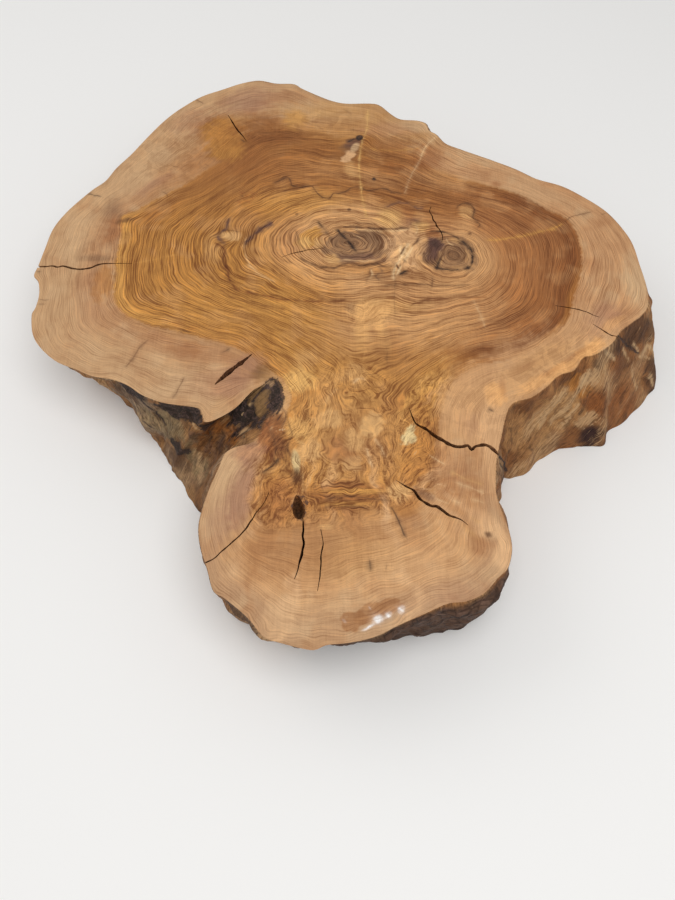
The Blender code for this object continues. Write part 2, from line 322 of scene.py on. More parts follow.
def crackLine(width, depth, runsOut, course):
    # its middle line, its half width and its depth along it
    form = crackForm
    line = catmull(course, False, form["step"])
    count = len(line)
    share = np.arange(count) / (count - 1)
    left = share if runsOut else np.minimum(share, 1 - share)
    opening = np.minimum(1, left / form["taper"]) ** form["opens"]
    stray = noiseAt(line[:, 0] / form["wanderLength"], line[:, 1] / form["wanderLength"], 2.5)
    line = line + sideways(line) * (stray * form["wander"] * opening)[:, None]
    rough = noiseAt(line[:, 0] / form["raggedLength"], line[:, 1] / form["raggedLength"], 9.5)
    half = np.maximum(form["tip"], opening * width / 2 * (1 + form["ragged"] * rough))
    return line, half, depth * opening


def cutDepth(spots):
    # how deep the cracks and the knot hole are at each spot
    depth = np.zeros(len(spots))
    for line, half, floor in crackLines.values():
        near = nearLine(spots, line, crackForm["room"])
        if near.any():
            gap, where = toLine(spots[near], line)
            steps = np.arange(len(line))
            fall = 1 - gap / (np.interp(where, steps, half) * crackForm["lip"])
            depth[near] = np.maximum(depth[near], np.clip(fall, 0, 1) * np.interp(where, steps, floor))
    reach = knotReach(spots)
    fall = np.clip((knotHole["lip"] - reach) / (knotHole["lip"] - knotHole["floor"]), 0, 1)
    return np.maximum(depth, fall * knotHole["depth"])


def knotReach(spots):
    # 1 on the mouth of the knot hole, 0 in its middle
    hole = knotHole
    turn = math.radians(hole["turn"])
    dx, dy = (spots - hole["middle"]).T
    along = (dx * -math.sin(turn) + dy * math.cos(turn)) / hole["halfLength"]
    across = (dx * math.cos(turn) + dy * math.sin(turn)) / hole["halfWidth"]
    return np.hypot(across / (1 - hole["pointed"] * np.clip(along, -1, 1)), along)


def knotRing(reach):
    # points of the plan round the knot hole, at a share of its mouth
    hole = knotHole
    turn = math.radians(hole["turn"])
    way = np.arange(hole["sides"]) / hole["sides"] * math.tau
    along = reach * np.sin(way)
    across = reach * np.cos(way) * (1 - hole["pointed"] * along) * hole["halfWidth"]
    along = along * hole["halfLength"]
    return np.stack([across * math.cos(turn) - along * math.sin(turn),
                     across * math.sin(turn) + along * math.cos(turn)], 1) + hole["middle"]


def rimWithMouths(rows):
    # the rim rows, with three of their own where a crack runs out: its two lips and its middle
    spots = rows[:, :2]
    gone = np.append(0, np.cumsum(np.linalg.norm(np.roll(spots, -1, 0) - spots, axis=1)))
    whole = gone[-1]
    closed = np.vstack([rows, rows[:1]])
    keep = np.ones(len(rows), bool)
    added = []
    for name, (width, depth, runsOut, course) in cracks.items():
        if not runsOut:
            continue
        line, half, floor = crackLines[name]
        outside = int(np.argmin(insideLoop(line, spots)))
        crossing = (line[outside - 1] + line[outside]) / 2
        gap, where = toLine(crossing[None], closed[:, :2])
        here = float(np.interp(where[0], np.arange(len(closed)), gone))
        lip = half[outside]
        toMouth = np.linalg.norm(line - crossing, axis=1)
        floor = np.minimum(floor, crackForm["mouthDepth"] + crackForm["mouthRise"] * toMouth)
        last = outside - 1 - int(np.argmax(toMouth[outside - 1::-1] > crackForm["mouthRoom"]))
        keep &= np.abs((gone[:-1] - here + whole / 2) % whole - whole / 2) > lip + crackForm["clear"]
        mouth = [(here + turn * lip) % whole for turn in (-1, 0, 1)]
        added += [(at, name, turn) for at, turn in zip(mouth, (-1, 0, 1))]
        crackLines[name] = line[:last + 1], half[:last + 1], floor[:last + 1]
    found = [(at, None, 0) for at in gone[:-1][keep]] + added
    found.sort(key=lambda one: one[0])
    columns = np.array([[np.interp(at, gone, closed[:, k]) for k in range(4)] for at, _, _ in found])
    mouths = {(name, turn): i for i, (_, name, turn) in enumerate(found) if name}
    return columns, mouths, np.array([at for at, _, _ in found])


def planPoints(rim, mouths, strokeRows):
    # every point of the sawn top's plan and the edges that the mesh has to keep
    points, edges = [tuple(spot) for spot in rim], []
    count = len(rim)
    edges += [(i, (i + 1) % count) for i in range(count)]

    def chain(spots, first=None, last=None):
        ids = list(range(len(points), len(points) + len(spots)))
        points.extend(tuple(spot) for spot in spots)
        ids = ([first] if first is not None else []) + ids + ([last] if last is not None else [])
        edges.extend(zip(ids, ids[1:]))
        return ids

    for name, (line, half, floor) in crackLines.items():
        right = sideways(line) * half[:, None]
        mouth = [mouths.get((name, turn)) for turn in (-1, 0, 1)]
        spine = chain(line, last=mouth[1])
        tip = None if cracks[name][2] else spine[-1]
        inner = slice(1, None) if cracks[name][2] else slice(1, -1)
        chain((line + right)[inner], spine[0], mouth[0] if tip is None else tip)
        chain((line - right)[inner], spine[0], mouth[2] if tip is None else tip)
    for reach in knotHole["rings"]:
        ids = chain(knotRing(reach))
        edges.append((ids[-1], ids[0]))

    free = clearOfCracks(np.concatenate(strokeRows)) if strokeRows else np.zeros((0, 2))
    free = free[insideLoop(free, rim)]
    points.extend(tuple(spot) for spot in thinned(free, points, slab["markRoom"]))
    areas = [((x - wide, y - tall), (x + wide, y + tall), step)
             for x, y, wide, tall, step in slab["fineAreas"]]
    areas.append((rim.min(0), rim.max(0), slab["topStep"]))
    for low, high, step in areas:
        grid = staggered(low, high, step)
        grid = clearOfCracks(grid[insideLoop(grid, rim)])
        points.extend(tuple(spot) for spot in thinned(grid, points, slab["gridRoom"] * step))
    return points, edges


def staggered(low, high, step):
    # points in staggered rows over a rectangle
    across = np.arange(low[0], high[0], step)
    rows = np.arange(low[1], high[1], step * math.sqrt(3) / 2)
    return np.concatenate([np.stack([across + (j % 2) * step / 2, np.full(len(across), y)], 1)
                           for j, y in enumerate(rows)])


def clearOfCracks(spots):
    # the spots that keep clear of the cracks and the knot hole
    keep = knotReach(spots) > knotHole["clear"]
    for line, half, floor in crackLines.values():
        near = nearLine(spots, line, crackForm["room"])
        gap, where = toLine(spots[near], line)
        keep[near] &= gap > np.interp(where, np.arange(len(line)), half) + crackForm["clear"]
    return spots[keep]


def thinned(spots, placed, room):
    # the spots that have room to every point already placed
    tree = KDTree(len(placed))
    for i, spot in enumerate(placed):
        tree.insert((*spot, 0), i)
    tree.balance()
    return [spot for spot in spots.tolist() if tree.find((*spot, 0))[2] > room]


def triangles(points, edges):
    # triangles between the points, inside the outline; also where each point went
    found = delaunay_2d_cdt([Vector(spot) for spot in points], edges, [], 1, 1e-4)
    spots, faces, origins = found[0], found[2], found[3]
    went = {one: i for i, group in enumerate(origins) for one in group}
    return np.array([tuple(spot) for spot in spots]), [tuple(face) for face in faces], went


def sideGrooves(ring, groove, depths):
    # where a crack runs down the side: how far its middle stands back into the wood
    along = np.roll(ring, -1, 0) - np.roll(ring, 1, 0)
    way = np.stack([along[:, 1], -along[:, 0]], 1) / np.linalg.norm(along, axis=1, keepdims=True)
    start = crackForm["mouthDepth"]
    back = smooth(start, start + crackForm["grooveStart"], depths)
    back *= 1 - smooth(crackForm["grooveFades"] * groove, groove + 0.01, depths)
    return way * (crackForm["sideGroove"] * back * (groove > 0))[:, None]


def rimSteps():
    # the rim's rows, closer together round the notch
    rows = catmull(rimKnots, True, slab["notchStep"])
    close = np.linalg.norm(rows[:, :2] - slab["notch"][:2], axis=1) < slab["notch"][2]
    keep = close | (np.arange(len(rows)) % round(slab["rimStep"] / slab["notchStep"]) == 0)
    return rows[keep]


def slabMesh(strokeRows):
    # the whole slice as one closed skin: the top, the side down to the foot, and the underside; with
    # the zone of every point, how much painted shade it takes from a crack that runs down the side,
    # and its place along the rim
    thick = slab["thickness"]
    columns, mouths, along = rimWithMouths(rimSteps())
    count = len(columns)
    rim = wallRing(columns, np.zeros(count))
    spots, faces, went = triangles(*planPoints(rim, mouths, strokeRows))
    depth = cutDepth(spots)
    ids = [went[i] for i in range(count)]
    topArcs = np.zeros(len(spots))
    topArcs[ids] = along
    groove = np.zeros(count)
    for (name, turn), i in mouths.items():
        depth[ids[i]] = 0.0 if turn else crackForm["mouthDepth"]
        groove[i] = 0.0 if turn else cracks[name][1]
    start = depth[ids]
    spots[ids] = wallRing(columns, start)
    verts = [np.column_stack([spots, depth])]
    crackShade, arcs = [np.zeros(len(spots))], [topArcs]
    kinds = [np.where(depth[np.array(faces)].max(1) > crackForm["inside"], 3, 0)]
    rows = [ids]
    total = len(spots)
    for j in range(1, slab["wallRows"] + 1):
        plainDepth = thick * (j / slab["wallRows"]) ** slab["rowPower"]
        at = np.maximum(plainDepth, start * (1 + slab["rowRoom"] * j))
        ring = wallRing(columns, at)
        verts.append(np.column_stack([ring - sideGrooves(ring, groove, at), at]))
        fades = smooth(crackForm["shadeFades"] * groove, groove + 0.01, at)
        crackShade.append((groove > 0) * (1 - fades))
        arcs.append(along)
        rows.append(list(range(total, total + count)))
        total += count
    for upper, lower in zip(rows, rows[1:]):
        faces += [(upper[i], lower[i], lower[(i + 1) % count], upper[(i + 1) % count])
                  for i in range(count)]
    kinds.append(np.full(count * slab["wallRows"], 1))
    foot = verts[-1][:, :2]
    step = slab["underStep"]
    grid = np.stack(np.meshgrid(np.arange(foot[:, 0].min(), foot[:, 0].max(), step),
                                np.arange(foot[:, 1].min(), foot[:, 1].max(), step)), -1).reshape(-1, 2)
    inner = thinned(grid[insideLoop(grid, foot)], foot.tolist(), step * slab["underRoom"])
    below, plain, went = triangles([tuple(spot) for spot in foot] + [tuple(spot) for spot in inner],
                                   [(i, (i + 1) % count) for i in range(count)])
    place = {went[i]: rows[-1][i] for i in range(count)}
    extra = [i for i in range(len(below)) if i not in place]
    place.update({i: total + k for k, i in enumerate(extra)})
    verts.append(np.column_stack([below[extra], np.full(len(extra), thick)]))
    crackShade.append(np.zeros(len(extra)))
    arcs.append(np.zeros(len(extra)))
    zones = np.repeat([0, 1, 2], [len(spots), count * slab["wallRows"], len(extra)])
    faces += [tuple(place[i] for i in face)[::-1] for face in plain]
    kinds.append(np.full(len(plain), 2))
    fields = [np.concatenate(kinds), zones, np.concatenate(crackShade), np.concatenate(arcs)]
    return np.concatenate(verts), faces, *fields


# The figure of the wood. Rings are counted outwards from two piths, and followed out to the line
# where the dark heartwood ends and on to the edge of the slice.
figure = {
    "leftPith": (12, 634), "leftLong": 1.45, "rightPith": (115, 617),
    "eyeWaves": ((15.0, 5.0, 141.0), (7.0, 3.2, 149.0)), "eyeReach": 34.0,
    "pithBlend": 11.0,      # how softly the rings of one pith run into the other's
    "heartRings": 62.0, "sapRings": 24.0,       # of heartwood and of sapwood
    "drawn": 1.45, "sapDrawn": 0.45,    # lines drawn for each ring, and more in the sapwood
    "unevenYears": (5.0, 1.5, 163.0),
    "middle": (20, 620),    # bands of tone are given by direction seen from here
    # how the rings stray: how long, by how many rings, and the place in the noise
    "waves": ((70.0, 2.2, 3.0), (26.0, 0.9, 11.0), (10.0, 0.35, 19.0)),
    "lobeWaves": (45.0, 1.5, 27.0), "lobeFrom": (430, 330),     # the front lobe's are wavier
    "calmRings": 9,         # they stray less next to a pith
    "burrWaves": ((17.0, 4.0, 35.0), (8.0, 2.2, 41.0)),
}
heartLine = [
    (-222, 668), (-205, 680), (-180, 700), (-160, 715), (-140, 735), (-120, 752), (-105, 775),
    (-85, 795), (-60, 800), (-30, 790), (0, 785), (30, 785), (45, 770), (80, 755), (100, 735),
    (130, 722), (160, 712), (190, 700), (215, 680), (235, 665), (243, 640), (243, 610), (237, 585),
    (229, 564), (219, 536), (203, 517), (182, 501), (160, 490), (138, 485), (115, 474), (100, 455),
    (92, 430), (88, 405), (84, 380), (80, 352), (62, 336), (30, 328), (0, 323), (-30, 318), (-60, 317),
    (-73, 328), (-77, 350), (-70, 372), (-63, 392), (-55, 412), (-46, 430), (-42, 448), (-48, 464),
    (-62, 477), (-72, 485), (-85, 497), (-100, 505), (-120, 512), (-150, 522), (-180, 530), (-200, 541),
    (-212, 555), (-218, 575), (-220, 610), (-219, 640),
]

# Knots and eyes where the rings are pushed aside: middle, reach and how many rings.
ringBumps = [
    ((-108, 642), 13, 3.2), ((131, 675), 9, -2.6), ((-33, 337), 12, 3.0), ((52, 349), 12, -3.0),
    ((-28, 640), 11, -2.0), ((62, 611), 11, 1.6), ((-87, 368), 16, -2.6), ((25, 545), 12, -2.4),
    ((48, 668), 12, -1.4), ((17, 760), 12, 1.5), ((-62, 718), 10, 1.4), ((-95, 478), 14, 1.6),
]

tones = {
    "sapwood": "ba8d61", "sapPink": "b3825f", "sapPale": "caa57c", "sapWarm": "c5956a",
    "lobe": "cb9a69", "lobePale": "d3a577", "heart": "ae773f", "heartLight": "c99866",
    "heartGold": "b27b3a", "heartBrown": "90592c", "heartDark": "7a4620", "heartRed": "9f673e",
    "gold": "c8924c", "paleGold": "dcae6b", "amber": "b27638", "cream": "e0bb8c",
    "greyCream": "b9a786", "straw": "cfa068", "rust": "965a2f", "umber": "5e3c24",
    "soot": "33231b", "plum": "63443a", "ash": "7f6048", "smoke": "6f5039",
    "chalk": "f3eeea", "glue": "a9764a", "charcoal": "3a2f28", "chunk": "80603c", "flaxen": "c9ae7d",
    "speck": "86421f", "rayPale": "e0b384", "rayDark": "aa764b", "crotch": "ebb26d", "honey": "e6ac6e",
    "rimTan": "b08a68", "rosy": "a2745a",
}

# Bands of tone: tone, from and to ring, from and to direction in degrees (0 right, 90 away), how
# softly it ends in rings, and strength.
bands = [
    ("heartLight", 4, 27, -180, 180, 7, 1.0), ("heartGold", 22, 58, 128, 252, 9, 0.9),
    ("gold", 30, 42, 205, 262, 4, 0.35), ("heartGold", 54, 63, 140, 215, 2.5, 0.7),
    ("gold", 58.5, 62, 155, 205, 1.2, 0.85), ("heartBrown", 30, 60, 30, 142, 9, 0.7),
    ("heartDark", 48, 61, 34, 138, 4, 0.45), ("heartLight", 38, 47, 60, 128, 4, 0.35),
    ("heartRed", 24, 60, -50, 34, 8, 0.7), ("heartDark", 53, 62, -42, 34, 3, 0.85),
    ("heartDark", 42, 56, -30, 30, 5, 0.3), ("heartBrown", 38, 60, 118, 162, 8, 0.7),
    ("heartDark", 52, 61, -70, -30, 3, 0.6), ("heartBrown", 52, 61, 108, 162, 4, 0.7),
    ("amber", 59.5, 62, -42, -10, 1.2, 0.7), ("sapPink", 62, 72, 95, 250, 4, 0.35),
    ("sapPale", 72, 90, 95, 260, 4, 0.5), ("heartRed", 61, 78, 58, 128, 6, 0.6),
    ("sapWarm", 62, 90, -62, 60, 5, 0.7), ("lobe", 62, 90, -122, -62, 3, 0.95),
    ("rimTan", 80, 92, -118, -60, 3, 0.75),
]


def toRgb(code):
    # sRGB hex to the linear values that the shaders use
    values = np.array([int(code[i:i + 2], 16) for i in (0, 2, 4)]) / 255
    return np.where(values <= 0.04045, values / 12.92, ((values + 0.055) / 1.055) ** 2.4)


def toColour(code):
    return (*toRgb(code), 1)


def softDistance(spots, line):
    # distance from a whole closed outline, with no crease where two of its sides are equally near
    step = np.linalg.norm(np.roll(line, -1, 0) - line, axis=1)
    found = []
    for part in np.array_split(spots, max(1, len(spots) // 3000)):
        away = ((part[:, None] - line[None]) ** 2).sum(2) + 0.4
        found.append(((step / away ** 2).sum(1) / (math.pi / 2)) ** (-1 / 3))
    return np.concatenate(found)


def planNoise(spots, long, seat):
    return noiseAt(spots[:, 0] / long, spots[:, 1] / long, seat)


def waves(spots, *rows):
    # unevenness over the plan, from rows of how long, how strong and the place in the noise
    return sum(strong * planNoise(spots, long, seat) for long, strong, seat in rows)


def bend(spots, *rows):
    # spots moved about by the same kind of noise, so that nothing painted at them is a plain oval
    for long, strong, seat in rows:
        shift = [planNoise(spots, long, seat + k) for k in (0.0, 5.0)]
        spots = spots + strong * np.stack(shift, 1)
    return spots


def ringNumber(spots):
    # the ring that each spot lies in, and the same without any waves
    heart = catmull(heartLine, True, 3.0)
    edge = catmull([row[:2] for row in rimRows], True, 3.0)
    inHeart = insideLoop(spots, heart)
    fromLeft, fromRight = spots - figure["leftPith"], spots - figure["rightPith"]
    near = np.exp(-(fromLeft ** 2).sum(1) / figure["eyeReach"] ** 2)
    near = np.maximum(near, np.exp(-(fromRight ** 2).sum(1) / figure["eyeReach"] ** 2))[:, None]
    for wave in figure["eyeWaves"]:
        shift = near * (bend(spots, wave) - spots)
        fromLeft, fromRight = fromLeft + shift, fromRight + shift
    left = np.hypot(fromLeft[:, 0] / figure["leftLong"], fromLeft[:, 1])
    right = np.linalg.norm(fromRight, axis=1)
    soft = figure["pithBlend"]
    pith = -soft * np.log(np.exp(-left / soft) + np.exp(-right / soft) + 1e-12)
    pith = np.maximum(pith, 0)
    toHeart, toEdge = softDistance(spots, heart), softDistance(spots, edge)
    heartRings, sapRings = figure["heartRings"], figure["sapRings"]
    plainRing = np.where(inHeart, heartRings * pith / (pith + toHeart),
                         heartRings + sapRings * toHeart / (toHeart + toEdge))
    ring = plainRing + smooth(0, figure["calmRings"], plainRing) * waves(spots, *figure["waves"])
    ring += smooth(*figure["lobeFrom"], spots[:, 1]) * waves(spots, figure["lobeWaves"])
    ring += burrShare(spots) * waves(spots, *figure["burrWaves"])
    for centre, reach, rings in ringBumps:
        ring += rings * np.exp(-((spots - centre) ** 2).sum(1) / reach ** 2)
    return ring, plainRing


def oval(spots, x, y, halfWide, halfTall, strength, turn=0, soft=0.6, ragged=0.0):
    # its strength inside a turned oval, falling to 0 across the softened and ragged edge
    c, s = math.cos(math.radians(turn)), math.sin(math.radians(turn))
    dx, dy = spots[:, 0] - x, spots[:, 1] - y
    reach = np.hypot((dx * c + dy * s) / halfWide, (-dx * s + dy * c) / halfTall)
    return strength * (1 - smooth(1 - soft, 1 + soft, reach + ragged))


# Where the grain is curled into burr: ovals of middle, half width, half height and strength, then turn
# and softness where they are not 0 and 0.6.
burrs = [
    (5, 388, 80, 58, 1.0, 0, 0.4), (-42, 352, 34, 34, 1.0, 0, 0.25), (78, 440, 20, 40, 0.75, -28, 0.4),
    (12, 462, 34, 22, 0.6, 0, 0.5), (30, 540, 26, 16, 0.2, 0, 0.5), (64, 612, 12, 24, 0.55, 0, 0.5),
    (-40, 465, 20, 18, 0.35, 0, 0.5), (52, 349, 13, 12, 1.0, 0, 0.3),
]

# Quiet wood inside the burr, given the same way.
quietWood = [
    (0, 398, 14, 18, 0.75, 0, 0.3), (29, 421, 11, 14, 0.8, -10, 0.25), (12, 379, 9, 7, 0.8, 0, 0.25),
    (-25, 392, 10, 11, 0.6, 0, 0.3), (8, 350, 34, 14, 0.8, 0, 0.4), (6, 446, 36, 12, 0.5, 0, 0.5),
    (110, 420, 26, 40, 0.8, 0, 0.3), (-8, 428, 16, 12, 0.7, 20, 0.3), (14, 402, 34, 36, 0.5, 0, 0.5),
]

# Cloudy wood, with ragged patches a finger's width across, given the same way.
quilting = [
    (6, 392, 86, 66, 0.3, 0, 0.3), (80, 440, 26, 44, 0.3, -28, 0.4), (12, 470, 44, 30, 0.4, 0, 0.4),
    (32, 540, 30, 20, 0.3, 0, 0.4), (192, 478, 76, 26, 0.36, 32, 0.4), (130, 438, 34, 34, 0.3, 0, 0.5),
    (-165, 770, 70, 50, 0.3, 40, 0.5), (-110, 795, 50, 30, 0.25, 20, 0.5),
    (66, 628, 22, 36, 0.6, 0, 0.4), (-30, 812, 44, 16, 0.35, 0, 0.5), (-235, 640, 34, 70, 0.2),
    (255, 530, 30, 24, 0.2, 30, 0.5), (-120, 470, 44, 26, 0.15), (20, 300, 110, 70, 0.15, 0, 0.7),
]

